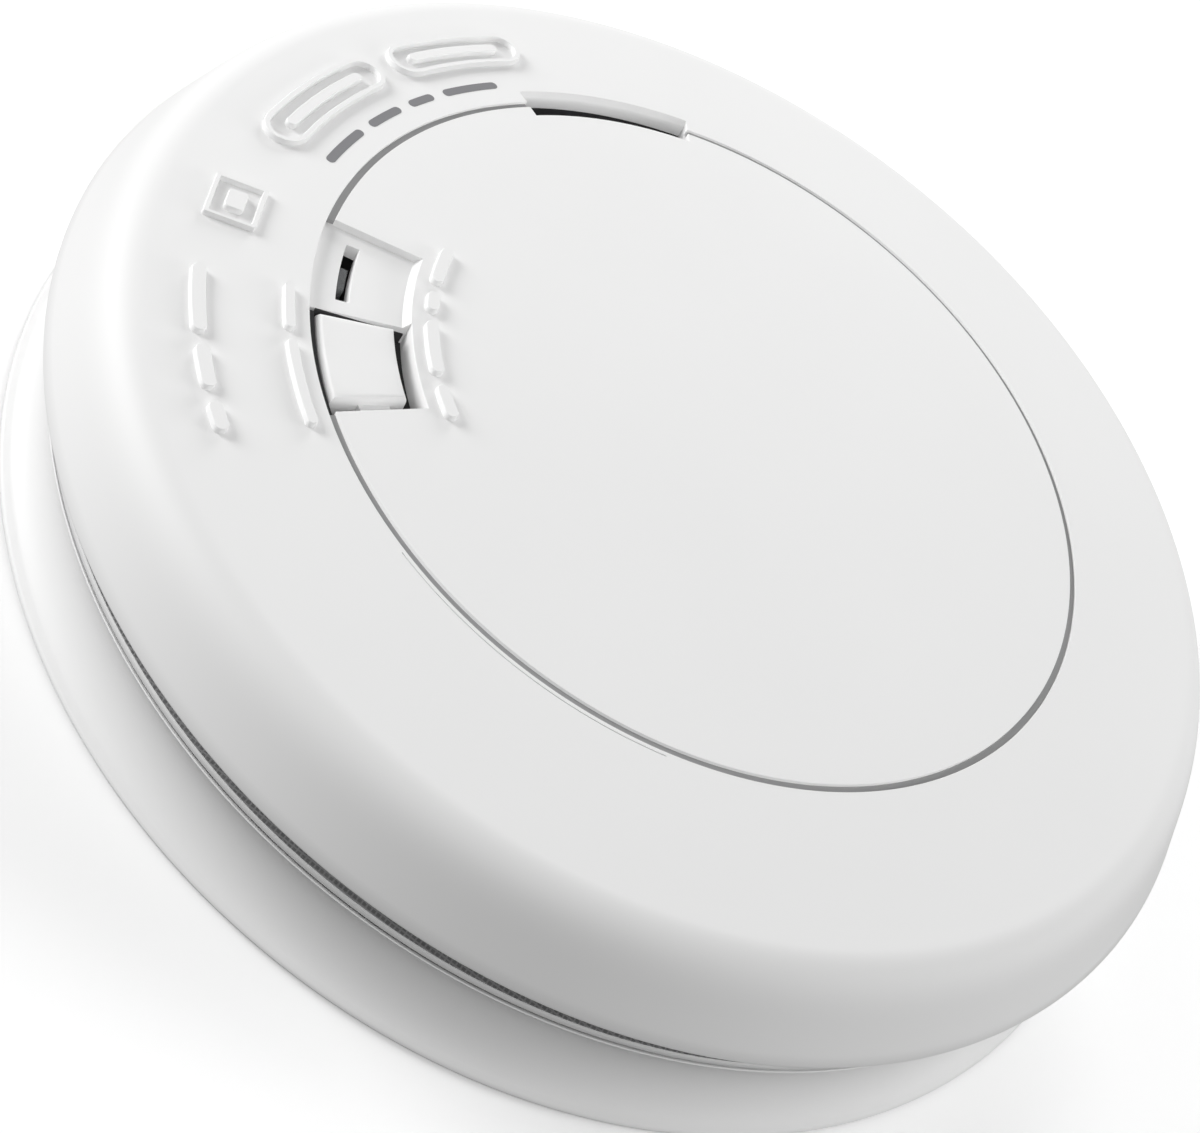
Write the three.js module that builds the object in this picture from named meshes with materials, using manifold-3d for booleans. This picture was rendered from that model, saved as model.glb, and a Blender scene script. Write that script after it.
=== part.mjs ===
// A slim round smoke and carbon monoxide alarm on its twist-lock mounting bracket.
// Millimetres, +Z towards the front face. The bracket's mounting face lies on z = 0, and the
// round axis is the Z axis. Angles are in degrees, anticlockwise from +X seen from the front.
import * as THREE from 'three';
import { mergeVertices } from 'three/addons/utils/BufferGeometryUtils.js';
import Module from 'manifold-3d';

// ---- driving dimensions ----
const ROUND_STEPS = 48;
const GAP = 0.3;

// front cover
const APEX_Z = 31;
const DOME_R = 511;
const WALL = 2;
const LIP_R = 71;
const LIP_Z = 16.4;
const FACE_EDGE_R = 64.4;
const GROOVE_R0 = 46.4;
const GROOVE_R1 = 47.05;
const GROOVE_DEPTH = 0.9;

// pocket beside the groove: the status window half, then the button half
const POCKET_R0 = 36.1;
const POCKET_WINDOW_R0 = 36.5;
const POCKET_A0 = -164.3;
const POCKET_SPLIT = -148.4;
const POCKET_A1 = -130.3;
const WINDOW_FLOOR_Z = 28.3;
const WINDOW_FLOOR_UNDER = 26.6;
const WINDOW = { r0: 42.6, r1: 44.2, a0: -161.9, a1: -150.6 };
const POCKET_SKIRT_Z = 24.6;

// test button and its hinge
const HINGE_ANGLE = -128;
const HINGE_Z = 25.8;
const HINGE_BAR_R = 0.9;
const HINGE_BAR = [37.4, 46.2];
const BUTTON_BASE = { r0: 37.5, r1: 46.1, a0: -147.5, a1: -132, z0: 25.4, z1: 27.7 };
const BUTTON_TOP = { r0: 38.1, r1: 45.6, a0: -146.5, a1: -132.8, z1: 28.6 };
const TAB = { r0: 39.3, r1: 42.8, z0: 25.9, z1: 27.4 };
const STEM_R = 41.7;
const STEM_ANGLE = -142;
const STEM_BOTTOM = 19.9;

// horn slot in the cover
const HORN_SLOT = { r0: 44.75, r1: 48.6, a0: 121, a1: 148.2 };
const HORN_SLOT_SKIRT_Z = 25.2;

// rear housing
const FLANGE_R = 69.1;
const FLANGE_TOP = 12.8;
const FLANGE_BOTTOM = 11.9;
const SHELF = { r: 67, z: 11.6 };
const HOUSING_R = 63.5;
const HOUSING_INNER_R = 61.8;
const HOUSING_BACK = 3;
const HOUSING_FLOOR = 4.6;
const INLET_RIBS = 24;
const INLET_RIB = { r0: 63, r1: 66.4, half: 0.45, z0: 12, z1: 15.8 };
const LUG_ANGLES = [60, 150, 240, 330];
const LUG_HALF = 6;
const LUG = { r0: 63, r1: 65.4, z0: 4.9, z1: 6.4 };
const HOOK = { r0: 64.2, r1: 66.7, z0: 7, z1: 8.6 };
const STOP_ARC = 2.4;

// housing screws and board screws
const SCREW_R = 57;
const SCREW_ANGLES = [15, 105, 195, 285];
const SCREW_TUBE_TOP = 16;
const SCREW_TUBE = { r: 3.6, headR: 2.8, headZ: 14.4, shankR: 1.8 };
const COVER_POST = { r: 3.2, boreR: 1.7, boreTop: 23.6, top: 26.5 };
const HOUSING_SCREW = { seatZ: 14.1, headH: 1.8, headR: 2.4, endZ: 22 };
const BOARD_SCREWS = [[47, 30], [44, -34], [-52, 10]];
const BOARD_SCREW = { headH: 1.4, headR: 2.3, endZ: 7.4 };
const BOARD_POST = { r: 2.8, boreR: 1.5 };
const SHANK_R = 1.2;
const CROSS_RECESS = { share: 0.7, half: 0.35, depth: 0.6 };

// mounting bracket
const BASE_R = 71;
const BRACKET_TOP = 11.2;
const PLATE_T = 2.2;
const PLATE_R0 = 52;
const SLOT_R = 59;
const SLOT_ANGLES = [0, 90, 180, 270];
const SLOT_SIZE = [5, 16];

// battery bay: two AA cells side by side, along Y
const BAY = { x0: 6.5, x1: 39.5, y: 29.5, top: 20, wall: 1.5 };
const DOOR_HOLE = { x0: 7, x1: 39, y0: -29, y1: 29.6 };
const DOOR = { x0: 7.4, x1: 38.6, y0: -28.6, y1: 27.9 };
const DOOR_HINGE = { y: 27.2, z: 4.9, r: 0.7 };
const CELL = { r: 7.1, z: 12.2, body: 49, nub: 1.5, nubR: 2.7, near: -22.7, x: [15, 31] };
const CONTACT = { near: 28.1, far: 28.6, half: 6, z0: 6.6, z1: 18.4 };
const CONTACT_TAIL = { half: 2, y: -34, z0: 15.05, z1: 15.55 };
const SPRING = { y0: -27.3, y1: -23.5, r0: 4.2, r1: 3, turns: 3, wireR: 0.4 };

// circuit board and what stands on it
const BOARD = { z0: 13, z1: 14.6, r: 60.3 };
const PART_Z = BOARD.z1 + GAP;
const CHAMBER = { x: -13, y: -35, r: 16, top: 23.5, floor: 16.4, vanes: 14, vaneR: 13, vaneTurn: 40 };
const EYE = { angles: [200, 330], r: 10.2, z: 19.4 };
const HORN = { x: -23.2, y: 23.5, r: 17, top: 23.4, wall: 1.4 };
const HORN_OUTLET = { r0: 45, r1: 47.6, a0: 127, a1: 142.4 };
const PIEZO = { r: 15, z: 17, crystalR: 10 };
const CO_CELL = { x: 50.5, y: 0, r: 7.2, top: 23 };
const LAMP_ANGLES = [-153, -157.6];
const SWITCH = { half: 3, top: 18.3, plungerR: 1.7, plungerZ: 17.4 };
const CHIPS = [
  { name: 'microcontroller', x: [17, 27], y: [38.5, 48.5], height: 1.4 },
  { name: 'horn_driver_chip', x: [-3, 7], y: [44, 50], height: 1.8 },
];
const CAPACITORS = [{ x: 18, y: -40, r: 3.2, height: 9 }, { x: 38, y: 39, r: 3.2, height: 8 }];
const INDUCTOR = { x: 30, y: -42, r: 4, coreR: 3, rim: 1, height: 7 };

// ---- manifold and geometry helpers ----
const wasm = await Module();
wasm.setup();

const rad = THREE.MathUtils.degToRad;

function domeZ(r) {
  return APEX_Z - (r * r) / (2 * DOME_R);
}

// A closed geometry as a manifold solid, with its faces turned outwards.
function solid(geometry) {
  const bare = geometry.clone();
  bare.deleteAttribute('normal');
  bare.deleteAttribute('uv');
  const merged = mergeVertices(bare, 1e-4);
  const index = merged.index.array;
  const build = (flip) => {
    const triVerts = [];
    for (let i = 0; i < index.length; i += 3) {
      const [a, b, c] = [index[i], index[i + 1], index[i + 2]];
      if (a === b || b === c || c === a) continue;
      triVerts.push(...(flip ? [a, c, b] : [a, b, c]));
    }
    const mesh = new wasm.Mesh({
      numProp: 3,
      vertProperties: new Float32Array(merged.attributes.position.array),
      triVerts: new Uint32Array(triVerts),
    });
    return new wasm.Manifold(mesh);
  };
  const first = build(false);
  return first.volume() > 0 ? first : build(true);
}

function join(first, ...others) {
  return others.flat().reduce((sum, next) => sum.add(next), first);
}

function cut(first, ...others) {
  return others.flat().reduce((rest, next) => rest.subtract(next), first);
}

// A profile of [r, z] points turned about the Z axis. It closes on itself.
function turned(profile, steps = ROUND_STEPS) {
  const points = [...profile, profile[0]].map(([r, z]) => new THREE.Vector2(r, z));
  return new THREE.LatheGeometry(points, steps).rotateX(Math.PI / 2);
}

function block(x0, x1, y0, y1, z0, z1) {
  const box = new THREE.BoxGeometry(x1 - x0, y1 - y0, z1 - z0);
  return box.translate((x0 + x1) / 2, (y0 + y1) / 2, (z0 + z1) / 2);
}

function rod(x, y, z0, z1, r, steps = 16) {
  const cylinder = new THREE.CylinderGeometry(r, r, z1 - z0, steps).rotateX(Math.PI / 2);
  return cylinder.translate(x, y, (z0 + z1) / 2);
}

// A rod along +X from x0 to x1.
function rodAlongX(x0, x1, y, z, r, steps = 12) {
  const cylinder = new THREE.CylinderGeometry(r, r, x1 - x0, steps).rotateZ(Math.PI / 2);
  return cylinder.translate((x0 + x1) / 2, y, z);
}

// A piece of a flat ring between two radii and two angles.
function sector(r0, r1, a0, a1, z0, z1, steps = 8) {
  const shape = new THREE.Shape();
  shape.absarc(0, 0, r1, rad(a0), rad(a1), false);
  shape.absarc(0, 0, r0, rad(a1), rad(a0), true);
  const options = { depth: z1 - z0, bevelEnabled: false, curveSegments: steps };
  return new THREE.ExtrudeGeometry(shape, options).translate(0, 0, z0);
}

// A slot with round ends, its length along Y, centred at (x, 0).
function roundSlot(x, width, length, z0, z1) {
  const half = length / 2 - width / 2;
  const shape = new THREE.Shape();
  shape.absarc(x, half, width / 2, 0, Math.PI, false);
  shape.absarc(x, -half, width / 2, Math.PI, 2 * Math.PI, false);
  const options = { depth: z1 - z0, bevelEnabled: false, curveSegments: 6 };
  return new THREE.ExtrudeGeometry(shape, options).translate(0, 0, z0);
}

function turn(geometry, degrees) {
  return geometry.rotateZ(rad(degrees));
}

function polar(r, degrees) {
  return [r * Math.cos(rad(degrees)), r * Math.sin(rad(degrees))];
}

// ---- materials ----
function plastic(color, roughness = 0.5) {
  return new THREE.MeshStandardMaterial({ color, roughness, metalness: 0 });
}

function metal(color, roughness = 0.35) {
  return new THREE.MeshStandardMaterial({ color, roughness, metalness: 1 });
}

const WHITE = plastic(0xf1f1f0, 0.42);
const BUTTON_WHITE = plastic(0xf3f3f2, 0.4);
const BLACK = plastic(0x1a1a1b, 0.6);
const BOARD_GREEN = plastic(0x1f5a3a, 0.5);
const CLEAR = plastic(0xd9dee0, 0.15);
const FOAM = plastic(0x2b2b2d, 0.9);
const STEEL = metal(0xb9bcc0);
const BRASS = metal(0xc9a14a);
const CELL_WRAP = plastic(0x35383d, 0.35);
const RED = plastic(0xb52a22, 0.3);
const GREEN = plastic(0x2f9a4b, 0.3);

// ---- the model ----
const alarm = new THREE.Group();

function addPiece(name, shape, material) {
  const isGeometry = shape.isBufferGeometry === true;
  const body = isGeometry ? solid(shape) : shape;
  const { vertProperties, triVerts } = body.getMesh();
  const geometry = new THREE.BufferGeometry();
  geometry.setAttribute('position', new THREE.BufferAttribute(new Float32Array(vertProperties), 3));
  geometry.setIndex(new THREE.BufferAttribute(new Uint32Array(triVerts), 1));
  geometry.computeVertexNormals();
  const mesh = new THREE.Mesh(geometry, material);
  mesh.name = name;
  alarm.add(mesh);
}

function makeBracket() {
  const profile = [
    [PLATE_R0, 0], [BASE_R, 0], [BASE_R, 0.7], [70, 1.4], [69, 2.4], [68.2, 3.6], [67.7, 5],
    [67.45, 6.4], [67.5, 7.9], [68.2, 9.7], [69.2, BRACKET_TOP], [67.6, BRACKET_TOP], [66.5, 9.7],
    [66, 7.9], [66.1, 5], [66.5, PLATE_T], [PLATE_R0, PLATE_T],
  ];
  const hooks = LUG_ANGLES.flatMap((angle) => [
    solid(sector(HOOK.r0, HOOK.r1, angle - LUG_HALF, angle + LUG_HALF, HOOK.z0, HOOK.z1, 3)),
    solid(sector(
      HOOK.r0 + 0.2, HOOK.r1, angle - LUG_HALF - STOP_ARC, angle - LUG_HALF, PLATE_T - 0.5, HOOK.z1, 1)),
  ]);
  const slots = SLOT_ANGLES.map((angle) => {
    return solid(turn(roundSlot(SLOT_R, SLOT_SIZE[0], SLOT_SIZE[1], -1, PLATE_T + 1), angle));
  });
  addPiece('mounting_bracket', cut(join(solid(turned(profile)), hooks), slots), WHITE);
}

function coverShell() {
  const outerFace = [0, 16, 31, GROOVE_R0].map((r) => [r, domeZ(r)]);
  const groove = [
    [GROOVE_R0, domeZ(GROOVE_R0) - GROOVE_DEPTH],
    [GROOVE_R1, domeZ(GROOVE_R1) - GROOVE_DEPTH],
  ];
  const outerRing = [GROOVE_R1, 56, FACE_EDGE_R].map((r) => [r, domeZ(r)]);
  const shoulder = [[66, 25.9], [67.3, 24.6], [68.3, 22.9], [69.2, 20.9], [LIP_R, LIP_Z]];
  const inside = [[69.2, LIP_Z], [67.4, 20.6], [66.4, 22.4], [65.2, 23.7], [63.6, 24.6]];
  const underFace = [61, 46, 31, 16, 0].map((r) => [r, domeZ(r) - WALL]);
  const profile = [...outerFace, ...groove, ...outerRing, ...shoulder, ...inside, ...underFace];
  return solid(turned(profile));
}

function buttonEars() {
  const ears = [HINGE_BAR[0], HINGE_BAR[1] - 1.2].map((x) => {
    return solid(turn(block(x, x + 1.2, -1.9, 1.9, HINGE_Z - 1.6, 27.8), HINGE_ANGLE));
  });
  const bore = rodAlongX(HINGE_BAR[0] - 1, HINGE_BAR[1] + 1, 0, HINGE_Z, HINGE_BAR_R + GAP);
  return { ears, bore: solid(turn(bore, HINGE_ANGLE)) };
}

function makeCover() {
  const posts = SCREW_ANGLES.map((angle) => {
    const [x, y] = polar(SCREW_R, angle);
    const post = solid(rod(x, y, SCREW_TUBE_TOP + GAP, COVER_POST.top, COVER_POST.r, 12));
    return cut(post, solid(rod(x, y, SCREW_TUBE_TOP, COVER_POST.boreTop, COVER_POST.boreR, 10)));
  });
  const windowPlate = sector(35.2, 48.4, POCKET_A0 - 1.6, POCKET_SPLIT + 1, WINDOW_FLOOR_UNDER, 28.6);
  const skirt = sector(34.8, 48.4, POCKET_SPLIT - 1.6, POCKET_A1 + 1.6, POCKET_SKIRT_Z, 28.6);
  const slotSkirt = sector(
    HORN_SLOT.r0 - 1.2, HORN_SLOT.r1 + 1.2, HORN_SLOT.a0 - 1.4, HORN_SLOT.a1 + 1.4, HORN_SLOT_SKIRT_Z, 28.2);
  const { ears, bore } = buttonEars();
  const shell = join(coverShell(), posts, [windowPlate, skirt, slotSkirt].map(solid), ears);

  const windowHalf = sector(POCKET_WINDOW_R0, GROOVE_R1, POCKET_A0, POCKET_SPLIT + 1, WINDOW_FLOOR_Z, 40);
  const buttonHalf = sector(POCKET_R0, GROOVE_R1 + 0.1, POCKET_SPLIT, POCKET_A1, 20, 40);
  const window = sector(WINDOW.r0, WINDOW.r1, WINDOW.a0, WINDOW.a1, 20, 40, 4);
  const hornSlot = sector(HORN_SLOT.r0, HORN_SLOT.r1, HORN_SLOT.a0, HORN_SLOT.a1, 20, 40);
  const tabWay = block(TAB.r0 - 0.6, TAB.r1 + 0.6, -5, 1.6, 22, TAB.z1 + 0.5);
  const cuts = [windowHalf, buttonHalf, window, hornSlot, turn(tabWay, HINGE_ANGLE)].map(solid);
  addPiece('front_cover', cut(shell, cuts, bore), WHITE);
}

function makeTestButton() {
  const { r0, r1, a0, a1, z0, z1 } = BUTTON_BASE;
  const base = sector(r0, r1, a0, a1, z0, z1, 5);
  const top = sector(
    BUTTON_TOP.r0, BUTTON_TOP.r1, BUTTON_TOP.a0, BUTTON_TOP.a1, z1 - 0.1, BUTTON_TOP.z1, 5);
  const [x, y] = polar(STEM_R, STEM_ANGLE);
  const stem = rod(x, y, STEM_BOTTOM, z0 + 0.5, 1.6, 10);
  const tab = turn(block(TAB.r0, TAB.r1, -4, 0, TAB.z0, TAB.z1), HINGE_ANGLE);
  const bar = turn(rodAlongX(...HINGE_BAR, 0, HINGE_Z, HINGE_BAR_R), HINGE_ANGLE);
  addPiece('test_button', join(...[base, top, stem, tab, bar].map(solid)), BUTTON_WHITE);
}

function batteryBay() {
  const { x0, x1, y, top, wall } = BAY;
  const outer = block(x0 - wall, x1 + wall, -y - wall, y + wall, HOUSING_BACK + 0.5, top + wall);
  const hollow = block(x0, x1, -y, y, HOUSING_FLOOR, top);
  const doorHole = block(DOOR_HOLE.x0, DOOR_HOLE.x1, DOOR_HOLE.y0, DOOR_HOLE.y1, 0, HOUSING_FLOOR + 0.1);
  const pinHole = rodAlongX(
    DOOR.x0 - 2.1, DOOR.x1 + 2.1, DOOR_HINGE.y, DOOR_HINGE.z, DOOR_HINGE.r + GAP);
  const tailHalf = CONTACT_TAIL.half + 0.5;
  const tailWays = CELL.x.map((x) => {
    return block(x - tailHalf, x + tailHalf, -y - wall - 1, -y + 1, BOARD.z1, BOARD.z1 + 1.4);
  });
  return { outer, hollows: [hollow, doorHole, pinHole, ...tailWays] };
}

function makeRearHousing() {
  const profile = [
    [0, HOUSING_BACK], [HOUSING_R - 0.9, HOUSING_BACK], [HOUSING_R, HOUSING_BACK + 0.9],
    [HOUSING_R + 0.3, SHELF.z], [SHELF.r, SHELF.z], [SHELF.r, FLANGE_BOTTOM], [FLANGE_R, FLANGE_BOTTOM],
    [FLANGE_R, FLANGE_TOP], [HOUSING_INNER_R + 0.2, FLANGE_TOP], [HOUSING_INNER_R, HOUSING_FLOOR],
    [0, HOUSING_FLOOR],
  ];
  const ribs = Array.from({ length: INLET_RIBS }, (_, i) => {
    const { r0, r1, half, z0, z1 } = INLET_RIB;
    return solid(turn(block(r0, r1, -half, half, z0, z1), (360 / INLET_RIBS) * i));
  });
  const lugs = LUG_ANGLES.map((angle) => {
    return solid(sector(LUG.r0, LUG.r1, angle - LUG_HALF + 1, angle + LUG_HALF, LUG.z0, LUG.z1, 3));
  });
  const tubes = SCREW_ANGLES.map((angle) => {
    return solid(rod(...polar(SCREW_R, angle), HOUSING_BACK + 0.4, SCREW_TUBE_TOP, SCREW_TUBE.r, 14));
  });
  const tubeBores = SCREW_ANGLES.flatMap((angle) => {
    const [x, y] = polar(SCREW_R, angle);
    const { headR, headZ, shankR } = SCREW_TUBE;
    return [rod(x, y, 0, headZ, headR, 12), rod(x, y, headZ - 0.4, SCREW_TUBE_TOP + 1, shankR, 10)];
  });
  const posts = BOARD_SCREWS.map(([x, y]) => {
    const post = solid(rod(x, y, HOUSING_FLOOR - 0.4, BOARD.z0 - GAP, BOARD_POST.r, 10));
    return cut(post, solid(rod(x, y, HOUSING_FLOOR + 1.4, BOARD.z0 + 1, BOARD_POST.boreR, 8)));
  });
  const bay = batteryBay();
  const shell = join(solid(turned(profile)), ribs, lugs, tubes, posts, solid(bay.outer));
  addPiece('rear_housing', cut(shell, [...tubeBores, ...bay.hollows].map(solid)), WHITE);
}

function makeBatteryDoor() {
  const { x0, x1, y0, y1 } = DOOR;
  const panel = block(x0, x1, y0, y1, HOUSING_BACK, HOUSING_FLOOR);
  const thumbNotch = block(18, 28, y0 + 1.5, y0 + 5, HOUSING_BACK - 1, HOUSING_BACK + 0.6);
  const ears = [[x0, x0 + 1.6], [x1 - 1.6, x1]].map(([a, b]) => {
    return solid(block(a, b, 26, y1, HOUSING_FLOOR - 0.4, 5.8));
  });
  const pins = [[x0 - 1.6, x0 + 0.5], [x1 - 0.5, x1 + 1.6]].map(([a, b]) => {
    return solid(rodAlongX(a, b, DOOR_HINGE.y, DOOR_HINGE.z, DOOR_HINGE.r, 10));
  });
  const door = cut(join(solid(panel), ears, pins), solid(thumbNotch));
  addPiece('battery_door', door, WHITE);
}

function makeCells() {
  const end = CELL.near + CELL.body;
  const profile = [
    [0, CELL.near], [CELL.r - 0.5, CELL.near], [CELL.r, CELL.near + 0.5], [CELL.r, end - 0.5],
    [CELL.r - 0.5, end], [CELL.nubR, end], [CELL.nubR, end + CELL.nub], [0, end + CELL.nub],
  ];
  CELL.x.forEach((x, i) => {
    const cell = turned(profile, 20).rotateX(-Math.PI / 2);
    if (i === 1) cell.rotateZ(Math.PI);
    addPiece(`battery_cell_${i + 1}`, cell.translate(x, 0, CELL.z), CELL_WRAP);
  });
}

class CoilPath extends THREE.Curve {
  constructor(y0, y1, r0, r1, turns) {
    super();
    Object.assign(this, { y0, y1, r0, r1, turns });
  }

  getPoint(t, target = new THREE.Vector3()) {
    const angle = 2 * Math.PI * this.turns * t;
    const r = this.r0 + (this.r1 - this.r0) * t;
    const y = this.y0 + (this.y1 - this.y0) * t;
    return target.set(r * Math.cos(angle), y, r * Math.sin(angle));
  }
}

function makeContacts() {
  CELL.x.forEach((x, i) => {
    const coil = new CoilPath(SPRING.y0, SPRING.y1, SPRING.r0, SPRING.r1, SPRING.turns);
    const wire = new THREE.Shape().absarc(0, 0, SPRING.wireR, 0, 2 * Math.PI, false);
    const options = { steps: 24, extrudePath: coil, curveSegments: 3, bevelEnabled: false };
    const spring = new THREE.ExtrudeGeometry(wire, options);
    if (i === 1) spring.rotateZ(Math.PI);
    addPiece(`contact_spring_${i + 1}`, spring.translate(x, 0, CELL.z), STEEL);
  });
  const { near, far, half, z0, z1 } = CONTACT;
  const plates = [['contact_plate_negative', CELL.x[0]], ['contact_plate_positive', CELL.x[1]]];
  for (const [name, x] of plates) {
    const plate = solid(block(x - half, x + half, -far, -near, z0, z1));
    const tail = solid(block(
      x - CONTACT_TAIL.half, x + CONTACT_TAIL.half, CONTACT_TAIL.y, -far + 0.2, CONTACT_TAIL.z0,
      CONTACT_TAIL.z1));
    addPiece(name, join(plate, tail), STEEL);
  }
  addPiece('contact_bridge', block(CELL.x[0] - half, CELL.x[1] + half, near, far, z0, z1), STEEL);
}

// A screw whose head stands on the face at seatZ, and whose shank ends at endZ, above or below it.
function makeScrew(name, x, y, seatZ, headH, headR, endZ) {
  const up = endZ > seatZ;
  const headEnd = up ? seatZ - headH : seatZ + headH;
  const { share, half, depth } = CROSS_RECESS;
  const drive = block(-headR * share, headR * share, -half, half, headEnd - depth, headEnd + depth);
  const head = rod(0, 0, Math.min(seatZ, headEnd), Math.max(seatZ, headEnd), headR, 10);
  const shank = rod(0, 0, Math.min(seatZ, endZ) - 0.1, Math.max(seatZ, endZ) + (up ? 0 : 0.1), SHANK_R, 6);
  const crossDrive = [drive, turn(drive.clone(), 90)].map(solid);
  const screw = cut(join(solid(head), solid(shank)), crossDrive);
  addPiece(name, screw.translate([x, y, 0]), STEEL);
}

function makeScrews() {
  SCREW_ANGLES.forEach((angle, i) => {
    const { seatZ, headH, headR, endZ } = HOUSING_SCREW;
    makeScrew(`housing_screw_${i + 1}`, ...polar(SCREW_R, angle), seatZ, headH, headR, endZ);
  });
  BOARD_SCREWS.forEach(([x, y], i) => {
    const { headH, headR, endZ } = BOARD_SCREW;
    makeScrew(`board_screw_${i + 1}`, x, y, BOARD.z1 + GAP, headH, headR, endZ);
  });
}

function makeBoard() {
  const clear = 0.8;
  const bay = block(
    BAY.x0 - BAY.wall - clear, BAY.x1 + BAY.wall + clear, -BAY.y - BAY.wall - clear,
    BAY.y + BAY.wall + clear, 0, 30);
  const notches = SCREW_ANGLES.map((angle) => rod(...polar(SCREW_R, angle), 0, 30, 4.1, 12));
  const holes = BOARD_SCREWS.map(([x, y]) => rod(x, y, 0, 30, 1.6, 10));
  const disc = rod(0, 0, BOARD.z0, BOARD.z1, BOARD.r, 48);
  addPiece('circuit_board', cut(solid(disc), [bay, ...notches, ...holes].map(solid)), BOARD_GREEN);
}

function makeSmokeChamber() {
  const { x, y, r, top, floor } = CHAMBER;
  const base = turned([[0, PART_Z], [r, PART_Z], [r, floor], [2, floor], [0, floor + 0.6]], 28);
  addPiece('chamber_base', base.translate(x, y, 0), BLACK);

  const vanes = Array.from({ length: CHAMBER.vanes }, (_, i) => {
    const vane = turn(block(-0.5, 0.5, -1.9, 1.9, floor + 0.4, top - 0.5), CHAMBER.vaneTurn);
    return solid(turn(vane.translate(CHAMBER.vaneR, 0, 0), (360 / CHAMBER.vanes) * i));
  });
  const lid = turned([[0, top - 1], [r - 0.4, top - 1], [r - 0.4, top - 0.5], [r - 1, top], [0, top]], 28);
  addPiece('chamber_cap', join(solid(lid), vanes).translate([x, y, 0]), BLACK);

  const sleeve = [[r + 0.4, PART_Z], [r + 0.8, PART_Z], [r + 0.8, top - 0.6], [r + 0.4, top - 0.6]];
  addPiece('chamber_screen', turned(sleeve, 28).translate(x, y, 0), STEEL);

  const bulb = [[0, 0], [2.4, 0], [2.4, 4.4], [1.8, 5.8], [0, 6.4]];
  const eyes = [['infrared_emitter', CLEAR, EYE.angles[0]], ['light_sensor', BLACK, EYE.angles[1]]];
  for (const [name, material, angle] of eyes) {
    const eye = turned(bulb, 12).rotateY(Math.PI / 2).translate(-EYE.r, 0, EYE.z);
    addPiece(name, turn(eye, angle).translate(x, y, 0), material);
  }
}

function makeGasSensor() {
  const { x, y, r, top } = CO_CELL;
  const can = [
    [0, PART_Z], [r, PART_Z], [r, PART_Z + 0.8], [r - 0.6, PART_Z + 1.2], [r - 0.6, top - 0.6],
    [r - 1.2, top], [0, top],
  ];
  addPiece('co_sensor_cell', turned(can, 24).translate(x, y, 0), STEEL);
  const cap = [[1.2, top + GAP], [5.6, top + GAP], [5.6, top + 1.2], [5, top + 1.6], [1.2, top + 1.6]];
  addPiece('co_sensor_cap', turned(cap, 20).translate(x, y, 0), WHITE);
}

function makeHorn() {
  const { x, y, r, top, wall } = HORN;
  const cup = turned([
    [r + 1.4, PART_Z], [r + 1.4, PART_Z + 1], [r, PART_Z + 1], [r, top - 0.6], [r - 0.6, top],
    [0, top], [0, top - wall], [r - wall, top - wall], [r - wall, PART_Z],
  ], 32);
  const { r0, r1, a0, a1 } = HORN_OUTLET;
  const outlet = sector(r0, r1, a0, a1, 18, 30, 5);
  addPiece('horn_housing', cut(solid(cup.translate(x, y, 0)), solid(outlet)), BLACK);
  const disc = [
    [0, PIEZO.z], [PIEZO.r, PIEZO.z], [PIEZO.r, PIEZO.z + 0.4], [PIEZO.crystalR, PIEZO.z + 0.4],
    [PIEZO.crystalR, PIEZO.z + 0.7], [0, PIEZO.z + 0.7],
  ];
  addPiece('piezo_disc', turned(disc, 28).translate(x, y, 0), BRASS);
  const seat = sector(r0 - 1, r1 + 1.2, a0 - 1, a1 + 1, top + GAP, HORN_SLOT_SKIRT_Z - GAP, 5);
  const opening = sector(r0, r1 + 0.2, a0, a1, 20, 30, 5);
  addPiece('horn_gasket', cut(solid(seat), solid(opening)), FOAM);
}

function makeStatusLight() {
  const { r0, r1, a0, a1 } = WINDOW;
  const foot = sector(r0 - 1, r1 + 1, a0 + 0.2, a1 - 0.2, 18.6, 20.2, 4);
  const bar = sector(r0 + 0.35, r1 - 0.35, a0 + 0.6, a1 - 0.6, 20, 27.2, 4);
  addPiece('light_pipe', join(solid(foot), solid(bar)), CLEAR);
  const lamps = [['status_light_red', RED, LAMP_ANGLES[0]], ['status_light_green', GREEN, LAMP_ANGLES[1]]];
  for (const [name, material, angle] of lamps) {
    const [x, y] = polar((r0 + r1) / 2, angle);
    const lamp = [[0, PART_Z], [1.5, PART_Z], [1.5, 17.1], [1, 18], [0, 18.2]];
    addPiece(name, turned(lamp, 12).translate(x, y, 0), material);
  }
}

function makeSwitch() {
  const [x, y] = polar(STEM_R, STEM_ANGLE);
  const { half, top, plungerR, plungerZ } = SWITCH;
  const body = turn(block(-half, half, -half, half, PART_Z, top), STEM_ANGLE).translate(x, y, 0);
  const well = rod(x, y, plungerZ - 1, top + 1.7, plungerR + GAP, 12);
  addPiece('switch_body', cut(solid(body), solid(well)), BLACK);
  addPiece('switch_plunger', rod(x, y, plungerZ, STEM_BOTTOM - GAP, plungerR, 12), STEEL);
}

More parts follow.
